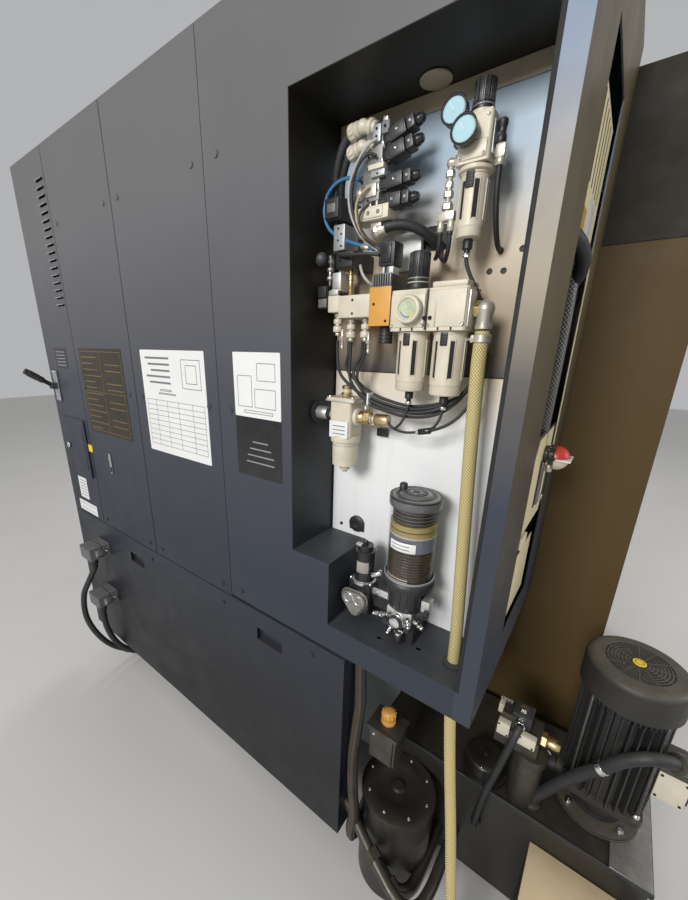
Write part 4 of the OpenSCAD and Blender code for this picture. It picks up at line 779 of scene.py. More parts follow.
# Solenoid bank, manifolds, switches
def build_valves():
    p = Piece("solenoid_bank")
    for x, z, long, tilt in ((-523, 1934, 14, 16), (-523, 1907, 14, 13), (-522, 1863, 32, 4),
                             (-521, 1833, 32, 0)):
        turn = Matrix.Translation((x, VALVE_Y, z)) @ Matrix.Rotation(math.radians(tilt), 4, "Y")
        p.box((-33, -15, -11.6), (0, 15, 11.6), "solenoid", 2.5, turn)
        p.box((-30, 14, -9), (-4, 15.8, 9), "solenoid", 0.8, turn)
        p.screw(turn @ Vector((-17, 15.6, 0)), "y", 6)
        p.box((-49, -12, -10.4), (-34.4, 13.4, 10.4), "solenoid", 2.5, turn)
        p.screw(turn @ Vector((-42, 13.2, 0)), "y", 5.4, "alu")
        p.lathe([(8, 0), (9.6, 2), (9.6, 7), (8, 9), (8, 12), (5.4, 15)], "black_gloss",
                turn @ place((-49, 0, 0), "-x"), 24)
        p.ribs(12, turn @ place((1, 0, 0), "x"), (9, -1.2, 0), (11.2, 1.2, long - 2), "black", 0.5)
        barrel = [(-2, long, 20, "black", 1.5, 28), (long, long + 5, 17, "alu")]
        if long > 20:
            barrel.append((long * 0.5, long * 0.5 + 5, 23, "alu"))
        for a, b, *rest in barrel:
            p.rod(turn @ Vector((a, 0, 0)), turn @ Vector((b, 0, 0)), *rest)
    p.done(replaces="solenoid_valves")
    p = Piece("valve_stack")
    p.boxes("valve_grey", (-508, 926, 1895, -472, 958, 1950, 2), (-505, 926, 1829, -468, 958, 1888, 2))
    p.boxes("silver_label", (-506, 938, 1930, -490, 965, 1957, 1.5), (-518, 938, 1876, -488, 964, 1887, 1.5))
    p.box((-523, 938, 1940), (-507, 964, 1959), "ink", 1.5)
    p.boxes("fitting", (-519, 955, 1957, -509, 963, 1966, 2), (-512, 928, 1790, -488, 956, 1805, 3),
            (-500, 958, 1846, -476, 962, 1868, 2))
    p.boxes("cream", (-517, 950, 1887.5, -484, 967, 1896, 1), (-532, 920, 1805, -455, 967, 1829, 2),
            (-506, 880, 1630, -426, 971, 1674, 1.5))
    p.boxes("grey_cast", (-520, 964, 1808, -478, 968.6, 1826, 1.5), (-427, 900, 1642, -397, 970, 1676, 2))
    p.box((-424, 966, 1676), (-400, 972, 1686), "alu", 1)
    for x in (-511, -489):
        p.lathe([(3.6, 0), (3.2, 0.8), (2.2, 0.8), (2.2, -1), (0, -1)], "dark", (x, 968.4, 1817), 20, "y")
    p.screws("y", 4.4, "dark", (-498, 965, 1950), (-498, 965, 1938), (-515, 965, 1950), (-503, 963, 1881),
             (-484, 963, 1840), (-482, 963, 1910))
    p.screws("y", 5, "dark", (-462, 970.6, 1664), (-462, 970.6, 1638))
    p.rod((-470, 950, 1881), (-458, 950, 1882), 14, "black", 3)
    p.lathe([(11, 0), (13, 2), (13, 12), (11, 14)], "fitting", (-466, 946, 1858), 28, "x")
    for x, z, d, slope in ((-459, 1968, 25, (31, 0, -6)), (-458, 1937, 22, (24, 0, -7))):
        ball, way, r = Vector((x, VALVE_Y, z)), Vector(slope), d / 2
        p.ball(ball, d, "cream")
        p.rod(ball, ball - Vector((30, 0, 9)), d * 0.86, "cream")
        p.lathe([(r * 0.9, 0), (r * 1.1, 2), (r * 1.1, 8), (r * 0.9, 10)], "cream", ball - Vector((14, 0, 4)), 30,
                (-30, 0, -9))
        p.lathe([(r * 0.9, 6), (r * 1.1, 8), (r * 1.1, 13), (r * 0.94, 15), (r * 1.14, 17), (r * 1.14, 28),
                 (r * 0.9, 31)],
                "cream", ball, 30, way)
        p.ribs(12, place(ball, way), (r * 1.06, -1.3, 18), (r * 1.2, 1.3, 27), "cream", 0.5)
    p.hexagon((-500, 944, 1786), "z", 25, 9, "fitting", 20)
    p.ball((-500, 944, 1786), 24, "fitting")
    p.lathe([(11, 0), (12.5, 1), (12.5, 9), (11, 11), (11, 17)], "fitting", (-502, 945, 1790), 28, (-1, 0, 0.15))
    p.rod((-440, 946, 1674), (-440, 946, 1730), 11, "brass")
    for z in (1686, 1696, 1706, 1716):
        p.ring((-440, 946, z), "z", 12, 2.2, "brass", 20, 8)
    for x, top in ((-482, 1630), (-445, 1630), (-409, 1642)):
        for d, h, key in ((19, 8, "fitting"), (14, 4, "fitting"), (20, 11, "cream"), (15, 4, "fitting"),
                          (22, 13, "cream"),
                          (13, 8, "fitting")):
            p.rod((x, 946, top), (x, 946, top - h), d, key, 1.5)
            top -= h
    for x, z in ((-498, 1592), (-430, 1600)):
        p.rod((x, 958, z + 8), (x, 958, z - 34), 7, "fitting")
        p.hexagon((x, 958, z - 14), "z", 11, 6, "fitting")
        p.ball((x, 958, z - 30), 9, "fitting")
    p.done(replaces="valve_manifold")
    p = Piece("switch_details")
    p.boxes("black", (-416, 960, 1824, -381, 966, 1860, 1.5), (-454, 960, 1730, -413, 965, 1758, 1.5),
            (-388, 960, 1674, -365, 965, 1697, 1), (-552, 930, 1722, -518, 968, 1764, 3))
    p.boxes("valve_grey", (-408, 965.4, 1834, -388, 966.6, 1850, 0.4), (-388, 960, 1654, -365, 964, 1672, 1),
            (-554, 973, 1683, -514, 980, 1707, 1.5))
    p.box((-428, 905, 1764), (-400, 958, 1812), "silver_label", 2)
    p.box((-424, 914, 1690), (-402, 962, 1722), "alu", 2)
    p.box((-424, 918, 1686), (-400, 962, 1690), "cream", 1)
    p.box((-558, 979, 1611), (-510, 983, 1683), "orange", 1.5)
    p.boxes("paper", (-548, 936, 1707, -524, 962, 1722, 2), (-572, 881, 1722, -512, 897, 1792, 2))
    p.box((-545, 967, 1727), (-525, 971, 1758), "black_gloss", 1)
    p.screws("y", 6, "dark", (-445, 965, 1744), (-423, 965, 1744))
    p.screws("y", 4, "dark", *[(-420 + 8 * (k % 2), 958, 1772 + 11 * k) for k in range(4)])
    p.screws("y", 5, "dark", (-521, 983, 1652), (-549, 983, 1620))
    p.rod((-377, 935, 1699), (-377, 935, 1762), 11, "steel")
    for z in (1712, 1730, 1746):
        p.lathe([(6, 0), (8, 2), (8, 7), (6, 9)], "alu", (-377, 935, z), 20)
    p.rod((-395, 940, 1762), (-395, 940, 1822), 14, "black")
    p.rod((-364, 946, 1752), (-374, 966, 1752), 26, "black", d2=22)
    p.ring((-370, 960, 1752), (-0.3, 1, 0), 24, 4, "rubber", 28, 8)
    for k in range(7):
        p.box((-551.5 + 5.2 * k, 980, 1685), (-549 + 5.2 * k, 981.2, 1705), "dark", 0.2)
    for z in range(1611, 1576, -7):
        p.rod((-534, 950, z), (-534, 950, z - 5), 29, "black_gloss", 1, 28)
    p.done()


build_valves()


# Inline air filter
def build_filter():
    p = Piece("inline_filter_details", FILTER_X, UNIT_Y, 0)
    p.box((-39, -32, 1452), (39, 32, 1456), "alu", 1.5)
    p.box((-25, 26, 1369), (26, 32, 1408), "paper", 1)
    for z in (1378, 1387, 1396):
        p.box((-18, 32, z), (16, 32.5, z + 2), "ink", 0)
    p.screws("z", 8, "bright", *[(sx * 31, sy * 24, 1461) for sx, sy in CORNERS])
    for profile, key, n in (
        ([(10, 1461), (13, 1463), (13, 1470), (9, 1472), (9, 1478), (12, 1480), (12, 1486), (7, 1488)], "brass",
         32),
        ([(34.6, 1357), (35.4, 1359), (35.4, 1370), (34, 1373)], "grey_cast", 48),
        ([(30.8, 1357), (31.2, 1352), (31.2, 1318), (29.5, 1308), (24, 1301), (12, 1298)], "grey_cast", 48),
        ([(12, 1300), (12.6, 1297), (12.6, 1289), (8, 1286), (6, 1280), (3, 1279)], "grey_cast", 32),
    ):
        p.lathe(profile, key, n=n)
    p.ring((0, 0, 1350), "z", 62, 1.6, "silver_label", 48, 8)
    p.move(0, UNIT_Y, 1418)
    p.hexagon((-410, 0, 0), "x", 33, 13, "bright")
    p.hexagon((-499, 0, 0), "-x", 29, 14, "brass", 10)
    p.lathe([(14.6, 0), (15.4, 1), (15.4, 30), (14.6, 31)], "alu", (-396, 0, 0), 36, "x")
    for x, profile, key, n in (
        (-357, [(15, 0), (24, 0.6), (26, 3), (26, 7), (20, 9)], "rubber", 40),
        (-474.5, [(19.4, 0), (20.6, 1), (20.6, 8), (19.4, 9)], "cream", 40),
        (-484, [(12, 0), (14, 1), (14, 12), (12, 14)], "brass", 32),
        (-514, [(13, 0), (14.4, 1), (14.4, 5), (12, 7)], "bright", 32),
        (-524, [(12, 0), (13.6, 2), (13.6, 30), (12.4, 33), (8, 33)], "brass", 36),
    ):
        p.lathe(profile, key, (x, 0, 0), n, "-x")
    p.done()


build_filter()


# Grease lubricator
def build_lubricator():
    p = Piece("grease_column", *GREASE)
    for key, r, z0, z1 in (("amber", 51, 1073, 1150), ("band", 51.6, 1150, 1182), ("cream", 51.2, 1182, 1186),
                           ("follower", 51, 1186, 1196), ("ringed", 50.4, 1196, 1199),
                           ("follower", 51, 1199, 1210),
                           ("amber", 46, 1210, 1249)):
        p.lathe([(r, z0), (r, z1), (0, z1)], key, n=48)
    for z in range(1216, 1248, 8):
        p.ring((0, 0, z), "z", 94, 1.6, "ink", 48, 6)
    for k in range(10):
        p.ring((0, 0, 1080 + 6.8 * k), "z", 101.6, 1.4, "ringed", 48, 6)
    for z in (1076, 1082):
        p.lathe([(52.3, z), (52.7, z + 0.4), (52.7, z + 1.6), (52.3, z + 2)], "cream", n=24, a0=40, a1=110)
    p.done()
    p = Piece("grease_cylinder", *GREASE)
    p.lathe([(55, 1068), (55, 1250), (52.4, 1250), (52.4, 1068)], "glass", n=64, loop=True)
    p.done(replaces="grease_reservoir")
    p = Piece("grease_label", *GREASE)
    p.lathe([(55.3, 1152), (55.5, 1152.2), (55.5, 1174), (55.3, 1174.2)], "paper", n=48, a0=58, a1=122)
    for z in (1158, 1166):
        p.lathe([(55.5, z), (55.7, z + 0.2), (55.7, z + 2)], "ink", n=32, a0=64, a1=108)
    p.done()
    p = Piece("lubricator_trim", *GREASE)
    p.lathe([(55, 1246), (57, 1248), (57.4, 1262), (55, 1267), (46, 1269), (44, 1267.6), (36, 1267.6), (34, 1271),
             (25, 1273), (23, 1270), (16, 1270), (14, 1274), (9, 1275), (7, 1272), (0, 1272)], "lid", n=64)
    p.lathe([(9, 1268), (9, 1284), (6, 1287), (0, 1287)], "black", (34, -6, 0), 24)
    p.lathe([(55.3, 1075), (57, 1074), (61, 1068), (62, 1062), (61, 1055), (56, 1051), (52, 1051), (52, 1068)],
            "black",
            n=64, loop=True)
    p.lathe([(55.2, 1078), (57.2, 1077), (57.2, 1073), (55.2, 1072)], "silver_label", n=64, loop=True)
    p.lathe([(41, 1052), (42, 1046), (42, 1000), (40, 992)], "black", n=48)
    p.ribs(16, p.spot(), (40.5, -2.4, 1002), (44, 2.4, 1046), "black", 1.2)
    p.boxes("alu", (-30, 20, 946, 34, 34, 990, 4), (-64, -4, 1000, -44, 22, 1030, 3))
    p.rod((-60, 22, 1006), (-60, 34, 1002), 14, "black")
    p.lathe([(17, 0), (18.4, 2), (18.4, 12), (13, 15), (13, 22), (9, 24)], "bright", (2, 34, 966), 32, "y")
    for k, (x, z, way) in enumerate(((-40, 980, (-1, .5, -.1)), (-22, 976, (-.5, .9, -.2)),
                                     (24, 970, (.7, .7, 0)),
                                     (40, 962, (1, .5, 0)), (-8, 940, (0, .5, -1)), (14, 946, (.3, .7, -1)))):
        q, t = Vector((x, 36, z)), Vector(way).normalized()
        p.hexagon(q, t, 13, 8, "bright", 11 * k)
        p.rod(q, q + t * 22, 8, "bright")
        p.ball(q + t * 22, 10, "bright")
        p.hexagon(q + t * 12, t, 11, 5, "bright", 20)
    p.rod((-6, 42, 940), (-8, 48, 914), 18, "black")
    p.lathe([(10, 0), (11.4, 1), (11.4, 6), (10, 7)], "bright", (-6, 43, 934), 24)
    p.done()
    p = Piece("grease_motor_trim", GREASE_MOTOR_X, *GREASE[1:])
    p.lathe([(25.2, 1012), (26, 1016), (26, 1088), (24, 1094), (19.4, 1095), (19.4, 1104), (17, 1108),
             (12, 1108.6),
             (9, 1106), (6, 1106), (6, 1116), (4, 1119), (0, 1119)], "black_gloss", n=44)
    p.lathe([(26.2, 1040), (26.4, 1040.2), (26.4, 1070), (26.2, 1070.2)], "tag", n=44, a0=70, a1=140)
    p.lathe([(27, 1004), (30, 1006), (30, 1012), (25, 1015)], "alu", n=44)
    p.boxes("alu", (2, 8, 1108, 18, 20, 1114, 2), (-84, 6, 962, -30, 12, 1004, 2))
    p.screws("z", 9, "bright", (-28, 18, 1012), (28, 18, 1012))
    p.screws("y", 8, "bright", (-74, 12, 994), (-44, 12, 994))
    gear = Matrix.Translation(p.home + Vector((0, 41, 966))) @ AXES["y"]
    lobes = ((-16, 9, 21), (15, 11, 20), (2, -25, 13))
    outline = []
    for k in range(60):
        a = math.radians(6 * k)
        cx, cz, r = max(lobes, key=lambda c: c[0] * math.cos(a) + c[1] * math.sin(a) + c[2])
        outline.append((cx + r * math.cos(a), cz + r * math.sin(a)))
    p.prism([(a * 1.06, b * 1.06) for a, b in outline], 3, "dull_cast", gear, 1, -1)
    p.prism(outline, 7, "dull_cast", gear, 0.93, 2)
    p.ring((14, 50, 976), "y", 26, 3, "bright", 36, 8)
    p.ring((-13, 50, 977), "y", 24, 3, "bright", 36, 8)
    p.screws("y", 6, "bright", *[(-cx * 1.5, 43, 966 + cz * 1.35) for cx, cz, _ in lobes])
    p.rod((-30, 16, 1040), (-52, 8, 1052), 15, "bright")
    p.done()
    p = Piece("shelf_hardware")
    for x, y in ((-600, 1010), (-690, 985)):
        p.ring((x, y, 900.6), "z", 13, 2, "rubber", 24, 8)
    p.lathe([(19, 0), (24, 0.4), (24, 3), (19, 5)], "rubber", (-770, 974, 900), 36)
    p.box((-467, 880, 1092), (-421, 884, 1112), "black", 1.5)
    p.lathe([(23, 0), (23, 6), (18, 9), (9, 9), (6, 5), (0, 5)], "black", (-444, 880, 1112), 32, "y")
    p.screw((-392, 880, 1098), "y", 9, "black")
    p.done()


build_lubricator()


# Route of the thick hose between the wash pump and the coolant manifold
WASH_HOSE = [(-1010, 668, 450), (-986, 668, 450), (-954, 668, 478), (-926, 670, 528), (-906, 680, 574),
             (-900, 698, 594), (-900, 724, 594)]


# Tubes and wires in the recess, and the thick hose
def build_tubes():
    p = Piece("black_air_tubes")
    for x, y, z, hole in ((-482, 0, 0, -706), (-476, 8, 9, -710), (-445, 6, -7, -720), (-409, 14, 3, -716),
                          (-440, -6, 14, -724)):
        p.tube([(x, 946, 1584), (x, 946, 1556), (x * 0.5 - 225 + z / 2, 948 + y / 2, 1505 + z),
                (-500, 948 + y, 1461 + z),
                (-552, 944 + y, 1444 + z), (-604, 942 + y, 1438 + z), (-656, 940 + y, 1448 + z),
                (-692, 934 + y / 2, 1470 + z / 2), (-712, 922, 1504), (hole, 902, 1548), (hole, 881, 1560)],
               7, "rubber", 12)
    p.boxes("paper", (-510, 938, 1449, -506, 968, 1475, 1.2), (-511, 962, 1440, -507, 976, 1448, 1))
    p.done(replaces="air_tubes")
    p = Piece("thick_hoses")
    p.tube([(-508, 946, 1791), (-524, 946, 1795), (-548, 938, 1796), (-570, 926, 1791), (-588, 910, 1780),
            (-602, 893, 1767), (-608, 878, 1760)], 19, "rubber", 16)
    for x, z in ((-9, 0), (9, 6)):
        p.tube([(-643 + x, 955, 1762), (-642 + x, 952, 1744), (-634 + x, 938, 1728 + z),
                (-622 + x, 916, 1728 + z),
                (-612, 896, 1744 + z), (-606, 878, 1766)], 8, "rubber", 12)
    p.tube([(-686, 955, 1728), (-688, 956, 1712), (-698, 955, 1690), (-712, 948, 1664), (-722, 934, 1636),
            (-730, 926, 1596), (-732, 924, 1550), (-730, 930, 1500), (-716, 946, 1458), (-696, 958, 1432),
            (-674, 962, 1418), (-656, 963, 1411)], 6.5, "rubber", 12)
    p.rod((-657, 963, 1411), (-632, 963, 1405), 13, "black_gloss")
    p.rod((-634, 963, 1405), (-626, 963, 1403), 9, "fitting")
    p.tube([(-628, 963, 1404), (-604, 963, 1400), (-580, 961, 1402), (-566, 959, 1408), (-556, 957, 1416)],
           5.5, "rubber", 12)
    p.tube([(-723, 955, 1850), (-723, 954, 1820), (-724, 944, 1782), (-724, 922, 1752), (-722, 896, 1742),
            (-722, 878, 1741)], 9, "rubber", 12)
    p.tube([(-600, 955, 1458), (-599, 960, 1440), (-590, 963, 1418), (-574, 961, 1404), (-562, 958, 1410)],
           5.5, "rubber", 10)
    p.tube([(-674, 955, 1454), (-672, 960, 1436), (-664, 963, 1420), (-652, 963, 1412)], 5.5, "rubber", 10)
    p.done()
    p = Piece("wash_supply_hose")
    p.tube(WASH_HOSE, 40, "rubber", 28, 6)
    p.done()
    p = Piece("valve_wires")
    for key, route in (
        ("grey_cable", [(-500, 966, 1934), (-488, 968, 1930), (-468, 966, 1918), (-450, 962, 1898),
                        (-437, 960, 1872),
                        (-440, 962, 1842), (-450, 964, 1815), (-474, 964, 1780), (-510, 958, 1752)]),
        ("rubber", [(-500, 966, 1908), (-486, 968, 1914), (-470, 970, 1906), (-456, 968, 1888), (-448, 966, 1862),
                    (-452, 968, 1830), (-464, 968, 1800), (-484, 966, 1774), (-512, 958, 1754)]),
        ("tan_cable", [(-488, 966, 1862), (-474, 970, 1852), (-464, 972, 1836), (-466, 972, 1808),
                       (-482, 968, 1780), (-514, 958, 1756)]),
        ("brown_cable", [(-488, 966, 1832), (-478, 974, 1822), (-474, 976, 1802), (-490, 970, 1774),
                         (-516, 960, 1758)]),
    ):
        p.tube(route, 5.5, key, 12)
    p.tube([(-458, 950, 1882), (-440, 950, 1890), (-418, 950, 1893), (-395, 950, 1888), (-376, 950, 1872),
            (-369, 950, 1850), (-371, 950, 1830), (-382, 950, 1810), (-404, 950, 1793), (-432, 951, 1780),
            (-483, 953, 1762), (-500, 955, 1756)], 7, "blue", 12)
    p.rod((-468, 953, 1766), (-486, 954, 1760), 10, "fitting")
    p.tube([(-404, 940, 1764), (-424, 968, 1752), (-452, 978, 1748), (-490, 976, 1746), (-520, 970, 1742)], 7,
           "rubber", 10)
    p.tube([(-470, 958, 1730), (-482, 968, 1712), (-496, 966, 1696), (-506, 950, 1690)], 6, "grey_cable", 10)
    p.done()
    p = Piece("valve_conduits")
    for d, route in (
        (18, [(-430, 950, 1962), (-418, 949, 1954), (-404, 946, 1934), (-392, 940, 1906), (-386, 930, 1872),
              (-382, 914, 1836), (-382, 890, 1806)]),
        (15, [(-436, 950, 1930), (-424, 949, 1923), (-412, 944, 1904), (-402, 936, 1880), (-396, 922, 1852),
              (-394, 900, 1826), (-394, 884, 1812)]),
    ):
        p.tube(route, d, "rubber", 20, ribs=0.03, pitch=7)
    p.done()
    p = Piece("recess_trim")
    p.box((-798, 880.3, 1987), (-360, 883.5, 2017.4), "tan_trim", 1)
    p.lathe([(0, 0), (26, 0), (28, 1), (28, 3), (0, 3)], "tan_trim", (-583, 914, 2017.6), 40, "-z")
    p.box((-806.5, 1050, 901), (-799.6, 1050.7, 2017), "dark", 0.2)
    p.screws("y", 6, "dark", (-770, 880, 1760), (-770, 880, 1560), (-776, 880, 1330), (-776, 880, 1120))
    p.box((-522, 884, 1366), (-494, 892, 1384), "black", 1)
    p.done()


build_tubes()


# Side face of the service box
def build_side():
    p = Piece("side_opening_fill")
    p.boxes("liner", (-831, 604, 1742, -828.5, 846, 1990, 0.6), (-838.6, 592, 1345, -836.6, 603, 1745, 0.5))
    p.box((-832.4, 660, 1760), (-831, 740, 1840), "paper", 0.4)
    p.box((-833, 770, 1752), (-831, 846, 1812), "orange", 0.6)
    for y in range(650, 795, 36):
        p.box((-832, y, 1850), (-831, y + 3, 1980), "ringed", 0.3)
    p.tube([(-824, 846, 1764), (-836, 812, 1752), (-842, 770, 1736), (-838, 734, 1716), (-826, 712, 1700)],
           26, "rubber", 20, 6)
    p.tube([(-818, 720, 1740), (-820, 722, 1660), (-821, 726, 1580), (-821, 730, 1500), (-820, 730, 1420),
            (-818, 726, 1330)], 36, "conduit", 28, 5)
    p.done()
    p = Piece("side_web_bracket")
    web = Matrix(((0, 0, -1, -835.2), (1, 0, 0, 0), (0, 1, 0, 0), (0, 0, 0, 1)))
    p.prism([(845, 1182), (845, 1352), (812, 1392), (640, 1398), (640, 1182)], 1.6, "liner", web)
    p.box((-842, 716, 1226), (-836.8, 742, 1330), "valve_grey", 1.5)
    p.box((-838.4, 744, 1222), (-836.6, 756, 1334), "dark", 0.5)
    p.boxes("liner", (-829, 604, 934, -827, 800, 1100, 0.6), (-842, 790, 1150, -830, 846, 1176, 2))
    p.hexagon((-842, 700, 1236), "-x", 14, 5, "bright")
    p.done()
    p = Piece("lockout_body", -838.5, 720, 1345)
    p.lathe([(20, 0), (20, 6), (15, 8), (15, 16), (18, 18), (18, 22)], "iron", n=44, axis="-x")
    p.screws("-x", 4, "bright", *[(-6, y, z) for y, z in circle(17.6, 4, 45)])
    p.rod((-11.5, 0, -24), (-11.5, 0, -40), 14, "fitting")
    p.done()
    p = Piece("lockout_handle")
    at = Matrix(((0, 0, -1, -862), (0, 1, 0, 720), (1, 0, 0, 1340), (0, 0, 0, 1)))
    dome = [(r, h * 0.95) for h, r in circle(27, 9, 0, 90, 10)[1:]]
    profile = [(0, 25.65), *dome, (27, -2.85), (0, -3)]
    p.lathe(profile, "red", at, 36, a0=-84, a1=84)
    p.lathe(profile, "cream", at, 36, a0=96, a1=264)
    p.box((-892, 689, 1338), (-862, 751, 1342), "paper", 1)
    p.done("lockout_knob", replaces="lockout_knob")


build_side()


# Coolant pump group
def build_pumps():
    p = Piece("pump_dressing", *PUMP)
    for x, y in circle(80, 4, 45):
        p.screw((x, y, 409), "z", 17, h=10)
    for sx, sy in CORNERS:
        p.rod((sx * 70, sy * 70, 495), (sx * 70, sy * 70, 789), 9, "steel")
        p.lathe([(7, 0), (8, 2), (8, 9), (5, 13), (0, 14)], "bright", (sx * 70, sy * 70, 495), 20)
        p.screw((-148, sx * 33, 607 + sy * 27), "-x", 7)
        p.screw((-112 + sx * 22, 52, 607 + sy * 32), "y", 6, "dark")
    p.lathe([(95, 398), (97, 400), (97, 403), (94, 405)], "rubber", n=64)
    p.boxes("pump", (-144, -50, 563, -80, 50, 651, 8), (-148, -40, 573, -143, 40, 641, 4))
    p.box((-141, 49, 567), (-84, 52, 647), "grey_cast", 2)
    p.rod((-112, 0, 563), (-112, 0, 540), 24, "black")
    p.lathe([(52, 0), (60, 3), (60, 8), (66, 12), (72, 40), (76, 62)], "pump", (0, 0, 419), 48)
    p.lathe([(100.4, 796), (100.9, 796.4), (100.9, 826), (100.4, 826.4)], "silver_label", n=16, a0=12, a1=28)
    p.move()
    p.tube([(-1226, 730, 700), (-1196, 762, 722), (-1156, 786, 726), (-1118, 792, 694), (-1086, 792, 642),
            (-1052, 790, 588), (-1018, 788, 522), (-990, 784, 456), (-978, 782, 424), (-976, 782, 398)],
           28, "rubber", 24, 8)
    p.lathe([(14, 399), (20, 399), (20, 409), (14, 412)], "iron", (-976, 782, 0))
    p.lathe([(14.2, -7), (16, -6), (16, 6), (14.2, 7)], "bright", (-1086, 792, 642), 36, (0.55, 0, -0.84),
            loop=True)
    p.lathe([(17, -13), (22, -12), (22, 12), (17, 13)], "iron", (-1212, 745, 712), 32, (0.6, 0.7, 0.4))
    p.done()
    p = Piece("cover_badge_disc", *PUMP)
    p.lathe([(0, 0), (13.5, 0), (13.5, 1.6), (11, 2), (0, 2)], "yellow", (0, 0, 870), 40)
    p.ring((0, 0, 871.6), "z", 17, 1.6, "black", 32, 8)
    p.done()
    p = Piece("cover_rim_ribs", *PUMP)
    p.ribs(60, p.spot(), (88, -1.6, 772), (98, 1.6, 795), "pump", 0.6)
    for k in range(60):
        if k % 5:
            p.box((20 if k % 2 else 38, -1.1, 865.4), (75, 1.1, 869.2), "pump", 0.3, p.spot(spin=6 * k))
    p.done()
    p = Piece("wash_hose_clamps")
    line = smooth_line(WASH_HOSE, 6)
    for t in (0.18, 0.86):
        i = int(t * (len(line) - 1))
        p.move(*line[i])
        p.lathe([(20.2, -6), (21.6, -6), (21.6, 6), (20.2, 6)], "bright", n=36, axis=line[i + 1] - line[i - 1],
                loop=True)
        p.box((-5, 18, -4), (5, 30, 4), "bright", 1)
    p.done()
    p = Piece("manifold_dressing")
    p.box((-962, 722, 568), (-858, 806, 621), "iron", 4)
    p.boxes("cream", (-954, 790, 600, -912, 810, 632, 3), (-892, 790, 600, -862, 810, 640, 3),
            (-882, 730, 621, -852, 762, 650, 2))
    p.box((-936, 738, 621), (-888, 786, 668), "black", 4)
    p.screws("y", 5, "dark", (-948, 810, 606), (-918, 810, 626), (-888, 810, 606), (-866, 810, 634))
    p.hexagon((-912, 762, 668), "z", 20, 8, "bright")
    p.hexagon((-912, 786, 644), "y", 22, 12, "bright")
    for x in (-874, -864, -854):
        p.rod((x, 746, 650), (x, 746, 664), 5, "bright")
    p.hexagon((-960, 750, 594), "-x", 34, 14, "brass")
    p.rod((-974, 750, 594), (-1006, 750, 594), 30, "brass")
    p.lathe([(35, 395), (37, 398), (37, 540), (33, 548), (33, 556), (41, 560), (42, 568)], "iron", (-946, 774, 0),
            48)
    p.tube([(-912, 800, 644), (-908, 816, 630), (-898, 828, 580), (-884, 836, 500), (-872, 842, 430),
            (-864, 848, 360),
            (-860, 850, 310), (-858, 844, 278), (-858, 830, 262), (-858, 816, 258)], 18, "rubber", 20)
    p.lathe([(9, 0), (14, 0), (14, 7), (9, 9)], "iron", (-858, 819, 258), 28, "y")
    p.done()
    p = Piece("transfer_pump_caps", -845, 760, 0)
    p.lathe([(55, 447), (52, 452), (40, 455), (10, 455), (8, 460), (0, 461)], "oily", n=48)
    p.screws("z", 8, "bright", *[(x, y, 449) for x, y in circle(48, 8)])
    p.move(-655, 923.3, 0)
    p.lathe([(108, 330), (107, 334), (98, 337), (60, 338), (56, 334), (20, 334), (16, 340), (0, 341)], "oily",
            n=64)
    p.screws("z", 9, "bright", *[(88 * math.cos(k * 0.785), 88 * math.sin(k * 0.785), 337) for k in range(8)])
    p.done()
    p = Piece("lid_trim")
    p.boxes("black", (-1233, 817, 384, -530, 822, 399, 1.5), (-1235, 480, 384, -1231, 822, 399, 1))
    p.box((-1187, 817, 60), (-993, 989.5, 314), "step_paint", 2)
    p.box((-1233, 482, 398), (-1150, 818, 401), "dull_cast", 1)
    p.done()


build_pumps()


# Under the box: lead bundle, breather and pipes
def build_underside():
    p = Piece("lead_bundle")
    for k in range(6):
        x, y = 9 * math.cos(k), 9 * math.sin(k)
        p.tube([(-548 + x, 1000 + y, 828), (-550 + x, 1002 + y, 760), (-556 + x, 1006 + y, 660),
                (-552 + x, 1012 + y, 560),
                (-548 + x, 1016 + y, 470), (-556 + x, 1024 + y, 380 - 6 * k), (-572 + x, 1034 + y, 290 - 5 * k),
                (-560 + x, 1026 + y, 190), (-548 + x, 1000 + y, 110), (-536 + x, 960 + y, 50),
                (-520 + x, 900, 26 + y),
                (-505 + x, 820, 24 + y)], 13 if k % 2 else 16, "brown_cable" if k % 3 else "rubber")
    p.done()
    p = Piece("breather_bracket")
    p.boxes("iron", (-668, 924, 590, -576, 1004, 600, 3), (-656, 996, 496, -588, 1001, 592, 2),
            (-664, 930, 500, -658, 1001, 592, 1.5))
    breather = p.spot((-622, 962, 0))
    p.lathe([(18, 600), (20, 603), (20, 608), (14, 611), (14, 614), (18, 617), (19, 628), (17, 637), (10, 641),
             (0, 641.5)], "orange", breather, 36)
    p.ribs(12, breather, (17, -1.5, 618), (19.8, 1.5, 636), "orange", 0.6)
    p.screw((-600, 1000, 580), "y", 9)
    p.done()
    p = Piece("dark_pipes")
    p.tube([(-460, 980, 262), (-540, 1010, 250), (-600, 1036, 230), (-680, 1068, 205), (-746, 1086, 186),
            (-788, 1066, 176), (-804, 1010, 172), (-806, 910, 170), (-806, 814, 170)], 30, "iron", 20)
    p.tube([(-460, 950, 212), (-540, 980, 200), (-600, 1006, 180), (-680, 1040, 155), (-724, 1044, 140),
            (-752, 1018, 130), (-760, 940, 124), (-760, 814, 122)], 30, "iron", 20)
    for at in ((-640, 1052, 218), (-700, 1048, 150)):
        p.hexagon(at, (-0.9, 0.35, -0.25), 42, 26, "iron")
    p.done()


build_underside()


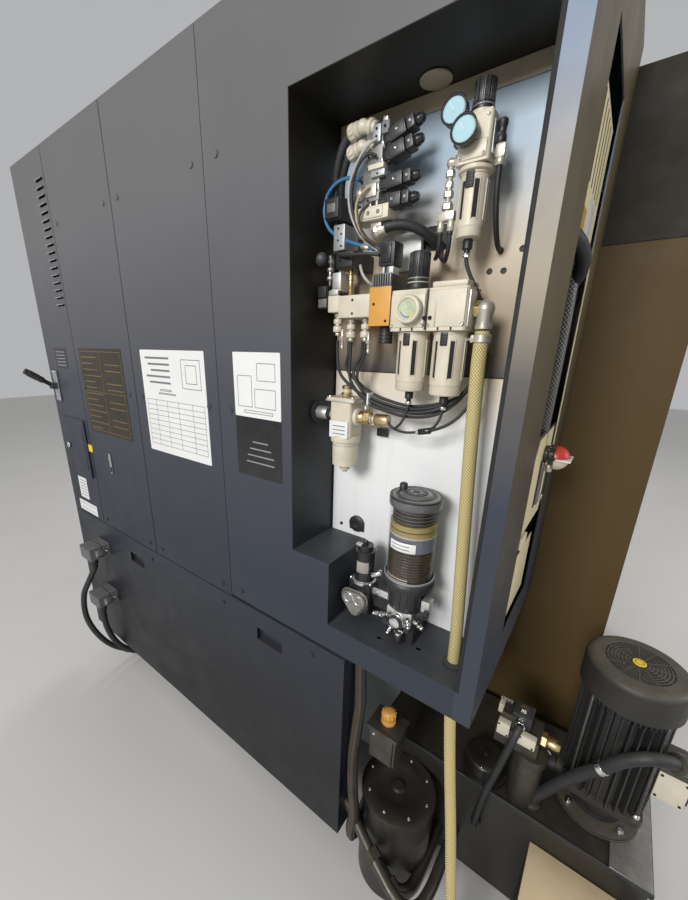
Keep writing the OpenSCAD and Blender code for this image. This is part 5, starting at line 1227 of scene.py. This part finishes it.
# Front: door windows, pendant face
def build_front():
    for side, body in ((1, "right_door"), (-1, "left_door")):
        p = Piece(f"{body}_window_trim")
        at = place((side * 300, -995.3, 1355), "-y")
        outer, inner = rounded(372, 712, 46, 8), rounded(352, 692, 36, 8)
        for k in range(len(outer)):
            p.prism([outer[k - 1], outer[k], inner[k], inner[k - 1]], 4.5, "rubber", at, 1, -1.5)
        p.prism(rounded(356, 696, 38, 8), 1.5, "window", at, 1, -2.4)
        p.rod((side * 50, -1037.3, 1182), (side * 50, -1037.3, 1498), 22.6, "bright", 4, 32)
        p.done(body)
    p = Piece("pendant_face")
    p.box((722, -1096.5, 1338), (963, -1093, 1562), "black", 3)
    p.box((730, -1097.3, 1346), (955, -1096, 1554), "screen", 1)
    for i, j in product(range(6), range(5)):
        x, z = 791 + i * 28, 1111 + j * 38
        p.box((x, -1100.5, z), (x + 18, -1098.6, z + 26), "ink" if (i + j) % 4 else "silver_label", 1.2)
    p.lathe([(24, 0), (24, 10), (20, 14), (0, 14)], "black", (920, -1095, 1060), 36, "-y")
    p.lathe([(24, 0), (27, 1), (27, 3), (23, 4)], "yellow", (745, -1095, 1060), 36, "-y")
    p.done("pendant")


build_front()


# Floor, lights and world
def build_stage():
    mesh = bpy.data.meshes.new("floor")
    mesh.from_pydata([(x * 14, y * 14, 0) for x, y in CORNERS], [], [(0, 2, 3, 1)])
    look = Look("floor")
    look.put({"Base Color": look.blend(look.noise(1.5, 4), (0.6, 0.585, 0.56), (0.66, 0.645, 0.62)),
              "Roughness": 0.6})
    mesh.materials.append(look.mat)
    add("floor", mesh)
    for name, spot, target, size, power in (
        ("key", (-0.5, 5.6, 3.4), (-0.4, 0.9, 1.3), 1.5, 210),
        ("side", (-4.6, -0.6, 2.6), (-0.5, 0.4, 1), 2, 40),
        ("front", (2.6, -4.6, 3.6), (0, -0.6, 1), 2.6, 110),
    ):
        data = bpy.data.lights.new(name, "AREA")
        data.size = size
        data.energy = power
        lamp = add(name, data)
        lamp.location = spot
        lamp.rotation_mode = "QUATERNION"
        lamp.rotation_quaternion = (Vector(target) - Vector(spot)).to_track_quat("-Z", "Y")
    world = bpy.data.worlds.new("world")
    bpy.context.scene.world = world
    world.use_nodes = True
    sky = world.node_tree.nodes["Background"].inputs
    sky["Color"].default_value = (0.86, 0.87, 0.89, 1)
    sky["Strength"].default_value = 0.52


build_stage()
bpy.context.scene.view_settings.view_transform = "Standard"
bpy.context.view_layer.update()
